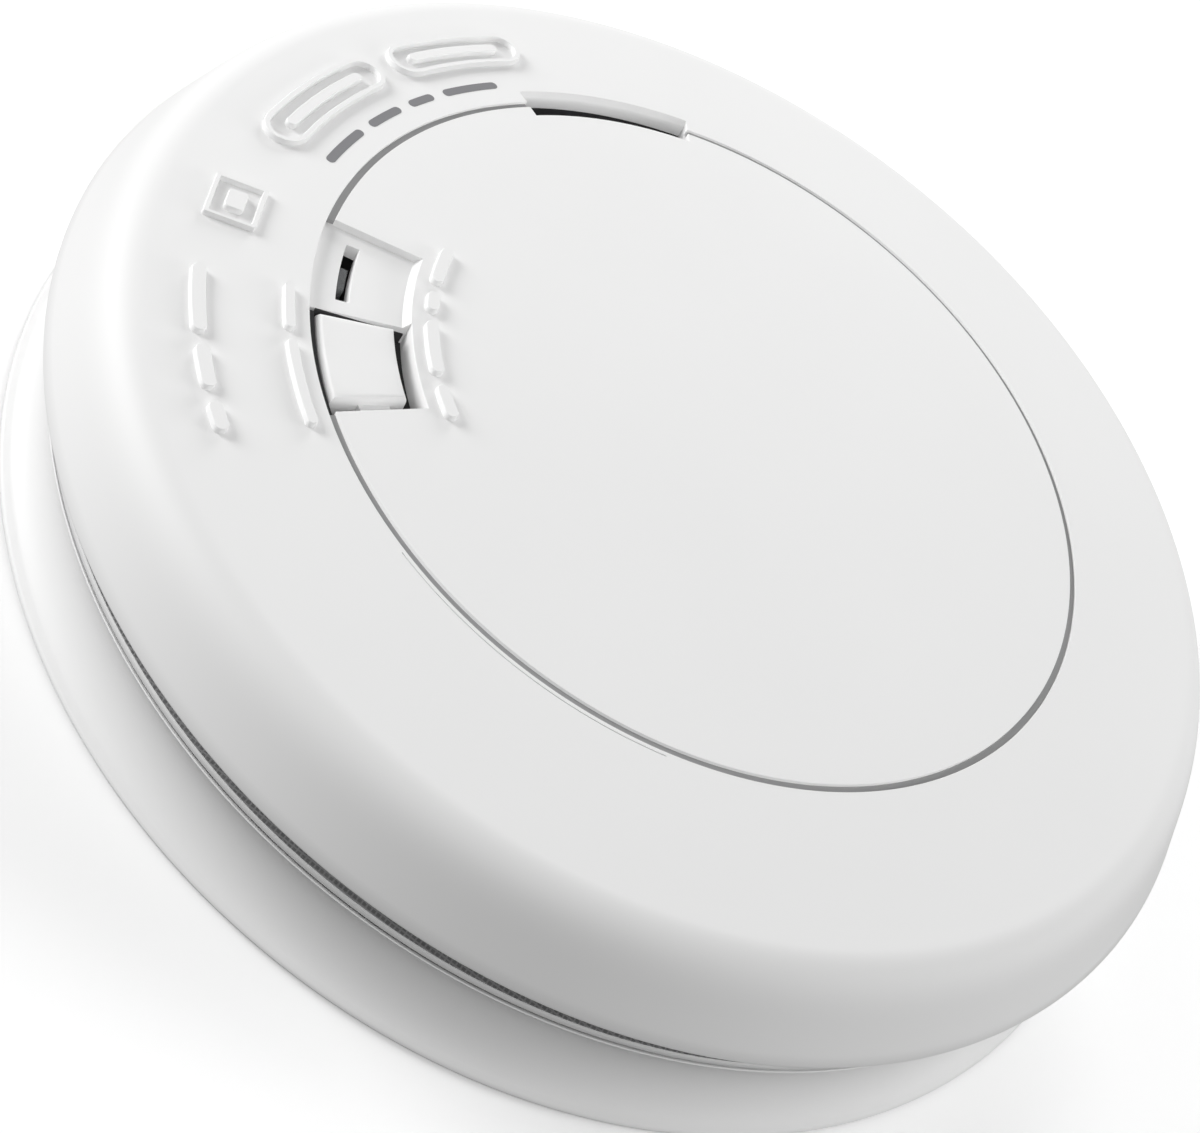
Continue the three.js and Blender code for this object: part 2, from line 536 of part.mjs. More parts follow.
function makeBoardParts() {
  CHIPS.forEach(({ name, x, y, height }) => {
    addPiece(name, block(...x, ...y, PART_Z, PART_Z + height), BLACK);
  });
  CAPACITORS.forEach(({ x, y, r, height }, i) => {
    const can = [
      [0, PART_Z], [r, PART_Z], [r, PART_Z + 1], [r - 0.3, PART_Z + 1.4], [r, PART_Z + 1.8],
      [r, PART_Z + height], [0, PART_Z + height],
    ];
    addPiece(`capacitor_${i + 1}`, turned(can, 16).translate(x, y, 0), CELL_WRAP);
  });
  const { x, y, r, coreR, rim, height } = INDUCTOR;
  const spool = [
    [0, PART_Z], [r, PART_Z], [r, PART_Z + rim], [coreR, PART_Z + rim], [coreR, PART_Z + height - rim],
    [r, PART_Z + height - rim], [r, PART_Z + height], [0, PART_Z + height],
  ];
  addPiece('horn_inductor', turned(spool, 16).translate(x, y, 0), BLACK);
}

makeBracket();
makeCover();
makeTestButton();
makeRearHousing();
makeBatteryDoor();
makeCells();
makeContacts();
makeScrews();
makeBoard();
makeSmokeChamber();
makeGasSensor();
makeHorn();
makeStatusLight();
makeSwitch();
makeBoardParts();

export default alarm;
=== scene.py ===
"""Looks for a slim round smoke and carbon monoxide alarm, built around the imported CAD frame."""
import math

import bmesh
import bpy
import numpy as np
from mathutils import Matrix, Vector
from mathutils.geometry import delaunay_2d_cdt


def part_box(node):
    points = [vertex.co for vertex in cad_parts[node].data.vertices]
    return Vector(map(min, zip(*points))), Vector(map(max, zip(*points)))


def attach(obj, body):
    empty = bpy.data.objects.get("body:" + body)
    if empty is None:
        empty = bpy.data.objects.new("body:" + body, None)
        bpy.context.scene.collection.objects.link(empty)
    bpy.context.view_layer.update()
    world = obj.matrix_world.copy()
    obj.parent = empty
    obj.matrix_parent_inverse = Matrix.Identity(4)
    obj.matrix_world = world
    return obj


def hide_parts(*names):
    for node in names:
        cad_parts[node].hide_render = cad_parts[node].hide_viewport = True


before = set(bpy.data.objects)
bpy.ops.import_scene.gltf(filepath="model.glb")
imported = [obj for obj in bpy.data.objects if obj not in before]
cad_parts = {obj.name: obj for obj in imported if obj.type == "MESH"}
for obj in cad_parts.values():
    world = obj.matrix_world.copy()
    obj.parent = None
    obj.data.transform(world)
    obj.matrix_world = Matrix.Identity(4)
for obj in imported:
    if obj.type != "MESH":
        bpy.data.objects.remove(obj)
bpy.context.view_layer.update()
scene = bpy.context.scene

# ---------------------------------------------------------------- sizes, in millimetres
MM = 0.001
COVER_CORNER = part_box("front_cover")[1] / MM
BRACKET_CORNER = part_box("mounting_bracket")[1] / MM

# the domed cover and the bracket's base
APEX_Z = COVER_CORNER.z
LIP_R = COVER_CORNER.x
LIP_Z = 16.4
BASE_R = BRACKET_CORNER.x
DOME_R = 511.0
WALL = 2.0
FACE_EDGE_R = 63.6
ROUND = 360

# what is cut in the cover: radii in millimetres, angles in degrees from +X
GROOVE_R0, GROOVE_R1 = 46.25, 47.15
GROOVE_DEPTH = 0.9
POCKET_R0 = 36.1
POCKET_A0, POCKET_SPLIT, POCKET_A1 = -164.3, -148.4, -130.3
WINDOW = (42.6, 44.2, -161.9, -150.6)
HORN_SLOT = (44.75, 48.95, 120.7, 148.2)
SKIRT_Z = 24.6
WINDOW_UNDER_Z = 26.6
HORN_SKIRT_Z = 26.5

# where the inner parts stand, and the fasteners
SCREW_R = 57
SCREW_ANGLES = (15, 105, 195, 285)
BOARD_SCREWS = ((47, 30), (44, -34), (-52, 10))
LUG_ANGLES = (60, 150, 240, 330)
RIBS = 96
HINGE_ANGLE = -128
STEM_R, STEM_ANGLE = 41.7, -142
CHAMBER = (-13, -35)
HORN = (-23.2, 23.5)
HORN_OUTLET = (45, 47.6, 127, 142.4)
GAS_CELL = (50.5, 0)
BOARD_R, BOARD_Z0, BOARD_Z1 = 60.3, 13, 14.6
PART_Z = 14.9
# each cell's x, and which way it points along Y
CELLS = ((15, 1), (31, -1))
CELL_Z = 12.2

# an edge profile for plain shapes
FLAT = [(0, 0)]


def dome_z(r):
    return APEX_Z - r * r / (2 * DOME_R)


def polar(r, degrees):
    angle = math.radians(degrees)
    return r * math.cos(angle), r * math.sin(angle)


# ---------------------------------------------------------------- outlines and edge profiles
def fillet(radius, depth, draft=0.05, steps=(0, 25, 50, 70, 84)):
    """(offset, depth) pairs of a rounded edge that runs down to a floor or a hole at that depth."""
    rounded = [(radius * math.sin(math.radians(a)), radius * (1 - math.cos(math.radians(a)))) for a in steps]
    return rounded + [(radius + draft, depth)]


def raised(height, width=0.16):
    """The edge of a mark that stands above its surface: a steep side and a small round on top."""
    shares = [(0, 0), (0.3, 0.72), (0.55, 0.92), (1, 1)]
    return [(width * across, -height * up) for across, up in shares]


class Outline:
    """A closed shape seen from the front, cut in or raised by its edge profile.
    distance(x, y) is how far inside the shape a point is."""

    def __init__(self, edge, through=False):
        self.edge, self.through = edge, through

    def depth(self, x, y):
        d = self.distance(x, y)
        return float(np.interp(d, *zip(*self.edge))) if d > 0 else 0.0

    def inside_hole(self, x, y):
        return self.through and self.distance(x, y) > self.edge[-1][0] - 1e-4

    def loops(self):
        return [self.loop(offset) for offset, _ in self.edge]


class RoundBox(Outline):
    """A rectangle with round corners, turned by some degrees. It is a disc when all corner."""

    def __init__(self, x, y, half_x, half_y, corner, edge, through=False, turn=0):
        super().__init__(edge, through)
        self.x, self.y, self.half_x, self.half_y = x, y, half_x, half_y
        self.corner, self.turn = corner, math.radians(turn)

    def distance(self, x, y):
        dx, dy, c, s = x - self.x, y - self.y, math.cos(self.turn), math.sin(self.turn)
        u = abs(c * dx + s * dy) - self.half_x + self.corner
        v = abs(c * dy - s * dx) - self.half_y + self.corner
        return self.corner - math.hypot(max(u, 0), max(v, 0)) - min(max(u, v), 0)

    def loop(self, offset):
        corner = max(self.corner - offset, 0)
        ax, ay = self.half_x - offset - corner, self.half_y - offset - corner
        steps = 0 if corner < 0.02 else 5 if corner < 1 else 10
        points = []
        for quarter, (sx, sy) in enumerate([(1, 1), (-1, 1), (-1, -1), (1, -1)]):
            for i in range(steps + 1):
                angle = math.pi / 2 * (quarter + (i / steps if steps else 0.5))
                px, py = sx * ax + corner * math.cos(angle), sy * ay + corner * math.sin(angle)
                if not points or math.hypot(px - points[-1][0], py - points[-1][1]) > 1e-3:
                    points.append((px, py))
        c, s = math.cos(self.turn), math.sin(self.turn)
        points = [(self.x + c * px - s * py, self.y + s * px + c * py) for px, py in points]
        closed = math.hypot(points[0][0] - points[-1][0], points[0][1] - points[-1][1]) < 1e-3
        return points[:-1] if closed else points


def disc(x, y, r, edge, through=False):
    return RoundBox(x, y, r, r, r, edge, through)


class ArcBar(Outline):
    """A bar with round ends that follows a circle from a0 to a1."""

    def __init__(self, r, half, a0, a1, edge):
        super().__init__(edge)
        end = math.degrees(half / r)
        self.r, self.half, self.a0, self.a1 = r, half, a0 + end, a1 - end

    def distance(self, x, y):
        middle = (self.a0 + self.a1) / 2
        reach = (self.a1 - self.a0) / 2
        swing = math.remainder(math.degrees(math.atan2(y, x)) - middle, 360)
        cx, cy = polar(self.r, middle + min(max(swing, -reach), reach))
        return self.half - math.hypot(x - cx, y - cy)

    def loop(self, offset):
        half = self.half - offset
        ends = []
        for angle, first in ((self.a1, 0), (self.a0, 180)):
            cx, cy = polar(self.r, angle)
            turns = [math.radians(angle + first + 180 * i / 8) for i in range(1, 8)]
            ends.append([(cx + half * math.cos(t), cy + half * math.sin(t)) for t in turns])
        outer, inner = arc(self.r + half, self.a0, self.a1), arc(self.r - half, self.a0, self.a1)
        return outer + ends[0] + inner[::-1] + ends[1]


class Groove(Outline):
    """A round groove all the way round."""

    def __init__(self, r0, r1, edge):
        super().__init__(edge)
        self.r0, self.r1 = r0, r1

    def distance(self, x, y):
        return min(math.hypot(x, y) - self.r0, self.r1 - math.hypot(x, y))

    def loops(self):
        return [circle(r) for o, _ in self.edge for r in (self.r0 + o, self.r1 - o)]


class Sector(Outline):
    """A piece of a flat ring. Its sides are inner, outer, start and end, and each may have its own edge.
    Its depths count from a floor."""

    def __init__(self, r0, r1, a0, a1, edges, through=False, floor=0.0):
        self.sides = [edges] * 4 if isinstance(edges[0], tuple) else edges
        super().__init__(self.sides[1], through)
        self.r0, self.r1, self.a0, self.a1, self.floor = r0, r1, a0, a1, floor

    def distances(self, x, y):
        r = math.hypot(x, y)
        from_start = math.remainder(math.atan2(y, x) - math.radians(self.a0), 2 * math.pi)
        from_end = math.remainder(math.radians(self.a1) - math.atan2(y, x), 2 * math.pi)
        return r - self.r0, self.r1 - r, r * math.sin(from_start), r * math.sin(from_end)

    def distance(self, x, y):
        return min(self.distances(x, y))

    def depth(self, x, y):
        distances = self.distances(x, y)
        if min(distances) <= 0:
            return 0.0
        return self.floor + min(np.interp(d, *zip(*edge)) for d, edge in zip(distances, self.sides))

    def inside_hole(self, x, y):
        lips = [edge[-1][0] for edge in self.sides]
        return self.through and min(d - lip for d, lip in zip(self.distances(x, y), lips)) > -1e-4

    def loop(self, inner, outer=None, start=None, end=None):
        outer, start, end = [inner if o is None else o for o in (outer, start, end)]
        r0, r1 = self.r0 + inner, self.r1 - outer
        near = [self.a0 + math.degrees(math.asin(start / r)) for r in (r0, r1)]
        far = [self.a1 - math.degrees(math.asin(end / r)) for r in (r0, r1)]
        return arc(r1, near[1], far[1]) + arc(r0, near[0], far[0])[::-1]

    def loops(self):
        depths = sorted({round(d, 5) for edge in self.sides for _, d in edge})
        offsets = [[np.interp(depth, [d for _, d in edge], [o for o, _ in edge]) for edge in self.sides]
                   for depth in depths]
        return [self.loop(*four) for four in offsets]


class Pierced(Outline):
    """A through hole as the other side of the wall sees it: no rounded edge of its own."""

    def __init__(self, hole):
        super().__init__(hole.edge, True)
        self.hole = hole

    def depth(self, x, y):
        return 0.0

    def inside_hole(self, x, y):
        return self.hole.inside_hole(x, y)

    def loops(self):
        return []


def ring_loop(r0, r1, a0, a1):
    """The outline of a plain piece of a flat ring."""
    return Sector(r0, r1, a0, a1, FLAT).loop(0)


def arc(r, a0, a1):
    """Points on a circle from a0 to a1, at whole degrees and at both ends."""
    whole = [a for a in range(math.ceil(a0), math.floor(a1) + 1) if a - a0 > 0.2 and a1 - a > 0.2]
    return [polar(r, a) for a in [a0, *whole, a1]]


def circle(r, steps=ROUND, x=0.0, y=0.0):
    return [(x + px, y + py) for px, py in (polar(r, 360 * i / steps) for i in range(steps))]


# ---------------------------------------------------------------- mesh building
class Shell:
    """Collects vertices in millimetres and faces, then makes one object of them."""

    def __init__(self):
        self.verts, self.faces = [], []

    def add(self, verts, faces):
        start = len(self.verts)
        self.verts += [tuple(v) for v in verts]
        self.faces += [tuple(start + i for i in face) for face in faces]
        return start

    def relief(self, rims, features, height, up=True, extra=(), spacing=4.0, hole_bottom=None):
        """A surface over the area between the rims, with every feature's edge as real geometry.
        height(x, y, depth) gives its z. Holes get walls down to hole_bottom(x, y), and the plan of
        their bottom edges is returned, for the surface on the other side to join on to."""
        loops = list(rims) + [loop for f in features for loop in f.loops()] + list(extra)
        points = [p for loop in loops for p in loop]
        edges, start = [], 0
        for loop in loops:
            edges += [(start + i, start + (i + 1) % len(loop)) for i in range(len(loop))]
            start += len(loop)
        points += inner_points(rims[0], loops, spacing)
        flat, _, tris, _, _, _ = delaunay_2d_cdt([Vector(p) for p in points], edges, [], 0, 1e-6)
        middles = np.array([sum((flat[i] for i in tri), Vector((0, 0))) / 3 for tri in tris])
        covered = np.sum([within(rim, middles) for rim in rims], axis=0) % 2 == 1
        tris = [tri for tri, middle, ok in zip(tris, middles, covered)
                if ok and not any(f.inside_hole(*middle) for f in features)]
        depths = [total_depth(features, *p) for p in flat]
        verts = [(p.x, p.y, height(p.x, p.y, d)) for p, d in zip(flat, depths)]
        start = self.add(verts, [tri if up else tri[::-1] for tri in tris])
        if not hole_bottom:
            return []
        used = {(a, b) for tri in tris for a, b in zip(tri, tri[1:] + tri[:1])}
        rim_points = {(round(x, 4), round(y, 4)) for rim in rims for x, y in rim}
        on_rim = [(round(p.x, 4), round(p.y, 4)) in rim_points for p in flat]
        seams = []
        for a, b in [e for e in used if e[::-1] not in used and not (on_rim[e[0]] and on_rim[e[1]])]:
            low = [(flat[i].x, flat[i].y, hole_bottom(flat[i].x, flat[i].y)) for i in (b, a)]
            first = self.add(low, [])
            self.faces.append((start + b, start + a, first + 1, first))
            seams.append([tuple(flat[a]), tuple(flat[b])])
        return seams

    def lathe(self, profile, steps=ROUND, x=0.0, y=0.0):
        """A profile of (r, z) points turned about an upright axis."""
        rows = len(profile)
        verts = [(x + px, y + py, z) for i in range(steps) for (px, py), z in
                 ((polar(r, 360 * i / steps), z) for r, z in profile)]
        faces = []
        for i in range(steps):
            a, b = i * rows, (i + 1) % steps * rows
            faces += [(a + k, b + k, b + k + 1, a + k + 1) for k in range(rows - 1)]
        return self.add(verts, faces)

    def band(self, lower, upper):
        """Faces between two closed rows of points."""
        n = len(lower)
        start = self.add([*lower, *upper], [])
        self.faces += [(start + i, start + (i + 1) % n, start + n + (i + 1) % n, start + n + i)
                       for i in range(n)]
        return start

    def wall(self, loop, z0, z1):
        """An upright wall along a loop."""
        return self.band([(*p, z0) for p in loop], [(*p, z1) for p in loop])

    def tower(self, loop, z0, z1):
        """A solid of the loop's shape between two heights."""
        n = len(loop)
        start = self.wall(loop, z0, z1)
        self.faces.append(tuple(start + i for i in reversed(range(n))))
        self.faces.append(tuple(start + n + i for i in range(n)))
        return start

    def box(self, low, high, turn=0):
        """A box between two corners, turned about the Z axis."""
        (x0, y0, z0), (x1, y1, z1) = low, high
        loop = [turned_to(turn, *p) for p in ((x0, y0), (x1, y0), (x1, y1), (x0, y1))]
        return self.tower(loop, z0, z1)

    def ring_part(self, r0, r1, a0, a1, z0, z1):
        """A part of a flat ring, with square edges."""
        corners = [(r0, z0), (r1, z0), (r1, z1), (r0, z1)]
        steps = max(2, round(abs(a1 - a0)))
        verts = [(*polar(r, a0 + (a1 - a0) * i / steps), z) for i in range(steps + 1) for r, z in corners]
        faces = [(4 * i + k, 4 * i + 4 + k, 4 * i + 4 + (k + 1) % 4, 4 * i + (k + 1) % 4)
                 for i in range(steps) for k in range(4)]
        return self.add(verts, [*faces, (0, 1, 2, 3), tuple(4 * steps + k for k in (3, 2, 1, 0))])

    def place(self, start, move):
        """Moves everything added since start."""
        self.verts[start:] = [move(*v) for v in self.verts[start:]]

    def make(self, name, body, material, stands_for=(), sharp=38, dome=False, bevel=0.0):
        mesh = bpy.data.meshes.new(name)
        mesh.from_pydata([[c * MM for c in v] for v in self.verts], [], self.faces)
        work = bmesh.new()
        work.from_mesh(mesh)
        bmesh.ops.remove_doubles(work, verts=work.verts, dist=0.002 * MM)
        bmesh.ops.dissolve_degenerate(work, edges=work.edges, dist=1e-7)
        loose = [v for v in work.verts if not v.link_faces]
        bmesh.ops.delete(work, geom=loose, context="VERTS")
        bmesh.ops.recalc_face_normals(work, faces=work.faces)
        if bevel:
            corners = [e for e in work.edges if len(e.link_faces) == 2 and e.calc_face_angle(0) > 0.6]
            bmesh.ops.bevel(work, geom=corners, offset=bevel * MM, segments=2, profile=0.5, affect="EDGES")
        for face in work.faces:
            face.smooth = True
        limit = math.radians(sharp)
        for edge in work.edges:
            edge.smooth = len(edge.link_faces) == 2 and edge.calc_face_angle(0) < limit
        work.to_mesh(mesh)
        work.free()
        if dome:
            set_dome_normals(mesh)
        obj = bpy.data.objects.new(name, mesh)
        scene.collection.objects.link(obj)
        mesh.materials.append(material)
        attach(obj, body)
        if stands_for:
            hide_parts(*stands_for)
        return obj


def total_depth(features, x, y):
    """The deepest cut here, or else the highest raised mark, as a negative depth."""
    depths = [f.depth(x, y) for f in features] or [0.0]
    return max(depths) if max(depths) > 1e-9 else min(depths)


def within(loop, points):
    """Whether each point is inside a closed loop."""
    x, y = points[:, 0], points[:, 1]
    inside = np.zeros(len(points), bool)
    for (x0, y0), (x1, y1) in zip(loop, loop[1:] + loop[:1]):
        if y0 != y1:
            crosses = ((y0 > y) != (y1 > y)) & (x < (x1 - x0) * (y - y0) / (y1 - y0) + x0)
            inside ^= crosses
    return inside


def inner_points(rim, loops, spacing):
    """Points that keep a wide face close to its curve, clear of every outline."""
    taken = np.array([p for loop in loops for p in loop])
    low, high = np.min(rim, axis=0), np.max(rim, axis=0)
    points, row = [], 0
    for y in np.arange(low[1] + spacing / 2, high[1], spacing * 0.87):
        row += 1
        for x in np.arange(low[0] + spacing / 2 * (row % 2), high[0], spacing):
            if np.hypot(*(taken - (x, y)).T).min() > spacing * 0.42:
                points.append((x, y))
    return points


def set_dome_normals(mesh):
    """Gives the face its exact normal, so that the fine edges cut in it don't disturb its shading."""
    normals = [Vector(n.vector) for n in mesh.corner_normals]
    for corner in mesh.loops:
        x, y, z = mesh.vertices[corner.vertex_index].co / MM
        on_face = abs(z - dome_z(math.hypot(x, y))) < 0.002 and math.hypot(x, y) < FACE_EDGE_R + 0.01
        if on_face and normals[corner.index].z > 0.7:
            normals[corner.index] = Vector((x, y, DOME_R)).normalized()
    mesh.normals_split_custom_set(normals)


def bezier(p0, p1, p2, p3, steps):
    out = []
    for i in range(steps + 1):
        t = i / steps
        weights = ((1 - t) ** 3, 3 * t * (1 - t) ** 2, 3 * t * t * (1 - t), t ** 3)
        out.append(tuple(sum(w * p[k] for w, p in zip(weights, (p0, p1, p2, p3))) for k in (0, 1)))
    return out


# ---------------------------------------------------------------- materials
def new_material(name):
    material = bpy.data.materials.new(name)
    material.use_nodes = True
    tree = material.node_tree
    return material, tree, tree.nodes["Principled BSDF"]


def add_node(tree, kind, source=None, target="Vector", **inputs):
    """A node that reads the source, with some of its inputs set. An underscore stands for a space."""
    node = tree.nodes.new("ShaderNode" + kind)
    for name, value in inputs.items():
        node.inputs[name.replace("_", " ")].default_value = value
    if source:
        tree.links.new(source, node.inputs[target])
    return node


def add_tint(tree, source, shader, dark, light, ends=(0, 1)):
    """Colours the surface between two colours by a pattern."""
    tint = add_node(tree, "ValToRGB", source, "Fac")
    for stop, position, color in zip(tint.color_ramp.elements, ends, (dark, light)):
        stop.position = position
        stop.color = (*color, 1)
    tree.links.new(tint.outputs["Color"], shader.inputs["Base Color"])


def add_gloss(tree, source, shader, low, high):
    """Varies the roughness by a pattern."""
    gloss = add_node(tree, "MapRange", source, "Value", To_Min=low, To_Max=high)
    tree.links.new(gloss.outputs["Result"], shader.inputs["Roughness"])


def add_bump(tree, source, shader, strength, depth):
    """Raises the surface by a pattern. The depth is in millimetres."""
    bump = add_node(tree, "Bump", source, "Height", Strength=strength, Distance=depth * MM)
    tree.links.new(bump.outputs["Normal"], shader.inputs["Normal"])


def add_grid(tree, shader, scale, first, second, line, thickness):
    """A square grid of lines, whose cells differ a little in colour. Returns its line pattern."""
    place = add_node(tree, "TexCoord").outputs["Object"]
    grid = add_node(tree, "TexBrick", place, Scale=scale, Color1=(*first, 1), Color2=(*second, 1),
                    Mortar=(*line, 1), Mortar_Size=thickness, Brick_Width=0.5, Row_Height=0.5)
    grid.offset = 0
    tree.links.new(grid.outputs["Color"], shader.inputs["Base Color"])
    return grid.outputs["Fac"]


def moulded_plastic(name, color, roughness, grain=0.004, scale=2600, specular=0.5):
    """Moulded plastic: a fine spark-eroded grain, faint flow mottling and uneven gloss."""
    material, tree, shader = new_material(name)
    shader.inputs["Specular IOR Level"].default_value = specular
    place = add_node(tree, "TexCoord").outputs["Object"]
    mottle = add_node(tree, "TexNoise", place, Scale=28, Detail=5).outputs["Fac"]
    fine = add_node(tree, "TexNoise", place, Scale=scale, Detail=3).outputs["Fac"]
    add_tint(tree, mottle, shader, [c * 0.985 for c in color], color, (0.3, 0.7))
    add_gloss(tree, mottle, shader, roughness - 0.04, roughness + 0.05)
    add_bump(tree, fine, shader, 0.35, grain)
    return material


def plated_metal(name, color):
    """Plated or rolled metal with fine drawn lines."""
    material, tree, shader = new_material(name)
    shader.inputs["Metallic"].default_value = 1
    place = add_node(tree, "TexCoord").outputs["Object"]
    drawn = add_node(tree, "Mapping", place, Scale=(40, 400, 40)).outputs["Vector"]
    lines = add_node(tree, "TexNoise", drawn, Scale=12, Detail=4).outputs["Fac"]
    add_tint(tree, lines, shader, [c * 0.8 for c in color], color)
    add_gloss(tree, lines, shader, 0.22, 0.4)
    return material


def board_material():
    """Green solder mask with the faint hatching of a copper ground plane under it."""
    material, tree, shader = new_material("solder_mask")
    shader.inputs["Roughness"].default_value = 0.35
    add_grid(tree, shader, 450, (0.012, 0.11, 0.045), (0.014, 0.12, 0.05), (0.022, 0.17, 0.07), 0.07)
    return material


def clear_material():
    """Clear plastic with a slight haze."""
    material, tree, shader = new_material("clear_plastic")
    shader.inputs["Transmission Weight"].default_value = 0.7
    shader.inputs["IOR"].default_value = 1.49
    place = add_node(tree, "TexCoord").outputs["Object"]
    haze = add_node(tree, "TexNoise", place, Scale=900).outputs["Fac"]
    add_tint(tree, haze, shader, (0.55, 0.57, 0.58), (0.66, 0.68, 0.69))
    add_gloss(tree, haze, shader, 0.12, 0.3)
    return material


def screen_and_shade_material():
    """Grey woven screen: a fine grid in its colour and height. The grey is also painted shade, set for the
    screen's foot, which stands for the shadow under the cover's lip.
    """
    material, tree, shader = new_material("inlet_mesh")
    shader.inputs["Roughness"].default_value = 0.8
    lines = add_grid(tree, shader, 900, (0.16, 0.16, 0.162), (0.19, 0.19, 0.192), (0.30, 0.30, 0.303), 0.08)
    add_bump(tree, lines, shader, 0.4, 0.05)
    return material


WHITE = moulded_plastic("shell_white", (0.83, 0.83, 0.828), 0.55, specular=0.4)
BUTTON_WHITE = moulded_plastic("button_white", (0.84, 0.84, 0.838), 0.5, specular=0.4)
PRINT_GREY = moulded_plastic("printed_grey", (0.22, 0.22, 0.23), 0.5)
LABEL = moulded_plastic("label_paper", (0.70, 0.71, 0.72), 0.28, grain=0.001)
# painted shade: this grey ring in the groove stands for the groove's shadow line
GROOVE_SHADE_GREY = moulded_plastic("groove_grey", (0.33, 0.33, 0.332), 0.7)
BLACK = moulded_plastic("black_plastic", (0.018, 0.018, 0.019), 0.55, grain=0.01)
# near black: real foam for the horn gasket, and painted shade in the button's gaps
FOAM_AND_GAP_SHADE = moulded_plastic("foam", (0.03, 0.03, 0.031), 0.9, grain=0.15, scale=1400)
SCREEN_AND_SHADE = screen_and_shade_material()
WRAP = moulded_plastic("cell_wrap", (0.06, 0.065, 0.075), 0.3, grain=0.001)
RED_LAMP = moulded_plastic("red_lamp", (0.5, 0.03, 0.02), 0.2, grain=0.001)
GREEN_LAMP = moulded_plastic("green_lamp", (0.04, 0.4, 0.1), 0.2, grain=0.001)
STEEL = plated_metal("steel", (0.62, 0.63, 0.64))
BRASS = plated_metal("brass", (0.72, 0.53, 0.24))
BOARD = board_material()
CLEAR = clear_material()


# ---------------------------------------------------------------- front cover
BORDER = [(0, 0), (0.03, -0.62), (0.1, -0.72), (0.62, -0.72), (0.69, -0.62), (0.72, 0)]
FINE = raised(0.7, 0.13)


def word_bars(r, half, a0, a1, shares, edge, gap=1.6):
    """A row of plain bars along a circle, in place of a row of marks. shares are relative lengths."""
    spare = (a1 - a0) - gap * (len(shares) - 1)
    bars, at = [], a0
    for share in shares:
        reach = spare * share / sum(shares)
        bars.append(ArcBar(r, half, at, at + reach, edge))
        at += reach + gap
    return bars


def face_marks():
    """Plain raised bars and a plain framed dot. None of them says anything."""
    frame_edge = [(0, 0), (0.03, -0.52), (0.09, -0.62), (0.47, -0.62), (0.53, -0.52), (0.56, 0)]
    x, y = polar(56.5, -160.2)
    return [
        *word_bars(56.1, 2.6, 144.4, 187.6, (5, 5.4), BORDER, 2.4),
        *word_bars(56.1, 0.7, 147.6, 184.4, (5, 5.4), FINE, 8.4),
        *word_bars(58.7, 0.8, -149.6, -128.4, (5, 3, 2), FINE),
        *word_bars(49.4, 0.6, -149.8, -128.2, (4, 7), FINE),
        *word_bars(34.2, 0.75, -168.6, -127.4, (4, 2, 5, 3), FINE, 2.4),
        RoundBox(x, y, 2.85, 3.25, 0.3, frame_edge, turn=-160.2),
        RoundBox(x, y, 1.1, 1.5, 0.5, FINE, turn=-160.2),
    ]


def make_groove_shade_ring():
    """A thin grey ring at the bottom of the groove, broken by the pocket and the horn slot. Its grey is
    painted shade: it stands for the groove's shadow line.
    """
    shell = Shell()
    floor = dome_z((GROOVE_R0 + GROOVE_R1) / 2) - GROOVE_DEPTH
    for a0, a1 in ((POCKET_A1 + 0.1, HORN_SLOT[2] - 0.1), (HORN_SLOT[3] + 0.1, POCKET_A0 + 359.9)):
        shell.ring_part(GROOVE_R0 + 0.06, GROOVE_R1 - 0.06, a0, a1, floor - 0.05, floor + 0.55)
    return shell.make("groove_liner", "alarm", GROOVE_SHADE_GREY)


def make_print():
    """A thin printed line between the large bars and the groove."""
    def top(x, y, depth=0):
        return dome_z(math.hypot(x, y)) + 0.03

    def base(x, y, depth=0):
        return dome_z(math.hypot(x, y)) - 0.1

    shell = Shell()
    for bar in word_bars(50.2, 0.55, 151.2, 186, (5, 2.4, 3.4, 4.6), FLAT, 2.0):
        loop = bar.loop(0)
        shell.relief([loop], [], top, spacing=2)
        shell.relief([loop], [], base, up=False, spacing=2)
        shell.band([(x, y, base(x, y)) for x, y in loop], [(x, y, top(x, y)) for x, y in loop])
    return shell.make("printed_line", "alarm", PRINT_GREY)


def cover_side():
    """Shoulder, drafted side, rounded lip and the inside wall, from the face's edge inwards."""
    edge = (FACE_EDGE_R, dome_z(FACE_EDGE_R))
    side = (69.25, 20.7)
    lip = (LIP_R, LIP_Z + 0.35)
    lean = Vector((lip[0] - side[0], lip[1] - side[1])).normalized()
    slope = Vector((1, -FACE_EDGE_R / DOME_R)).normalized()
    shoulder = bezier(edge, tuple(Vector(edge) + slope * 3.3), tuple(Vector(side) - lean * 3.4), side, 22)
    outer = shoulder + [(side[0] + (lip[0] - side[0]) * t, side[1] + (lip[1] - side[1]) * t)
                        for t in (0.34, 0.67, 1)]
    lip_round = [(LIP_R - 0.02, LIP_Z + 0.18), (LIP_R - 0.12, LIP_Z + 0.05), (LIP_R - 0.3, LIP_Z),
                 (LIP_R - 1.5, LIP_Z), (LIP_R - 1.75, LIP_Z + 0.1), (LIP_R - 1.9, LIP_Z + 0.4)]
    inner = bezier((69.1, 16.8), (67.2, 21.2), (66.4, 24.8), (61, dome_z(61) - WALL), 16)
    return outer + lip_round + inner


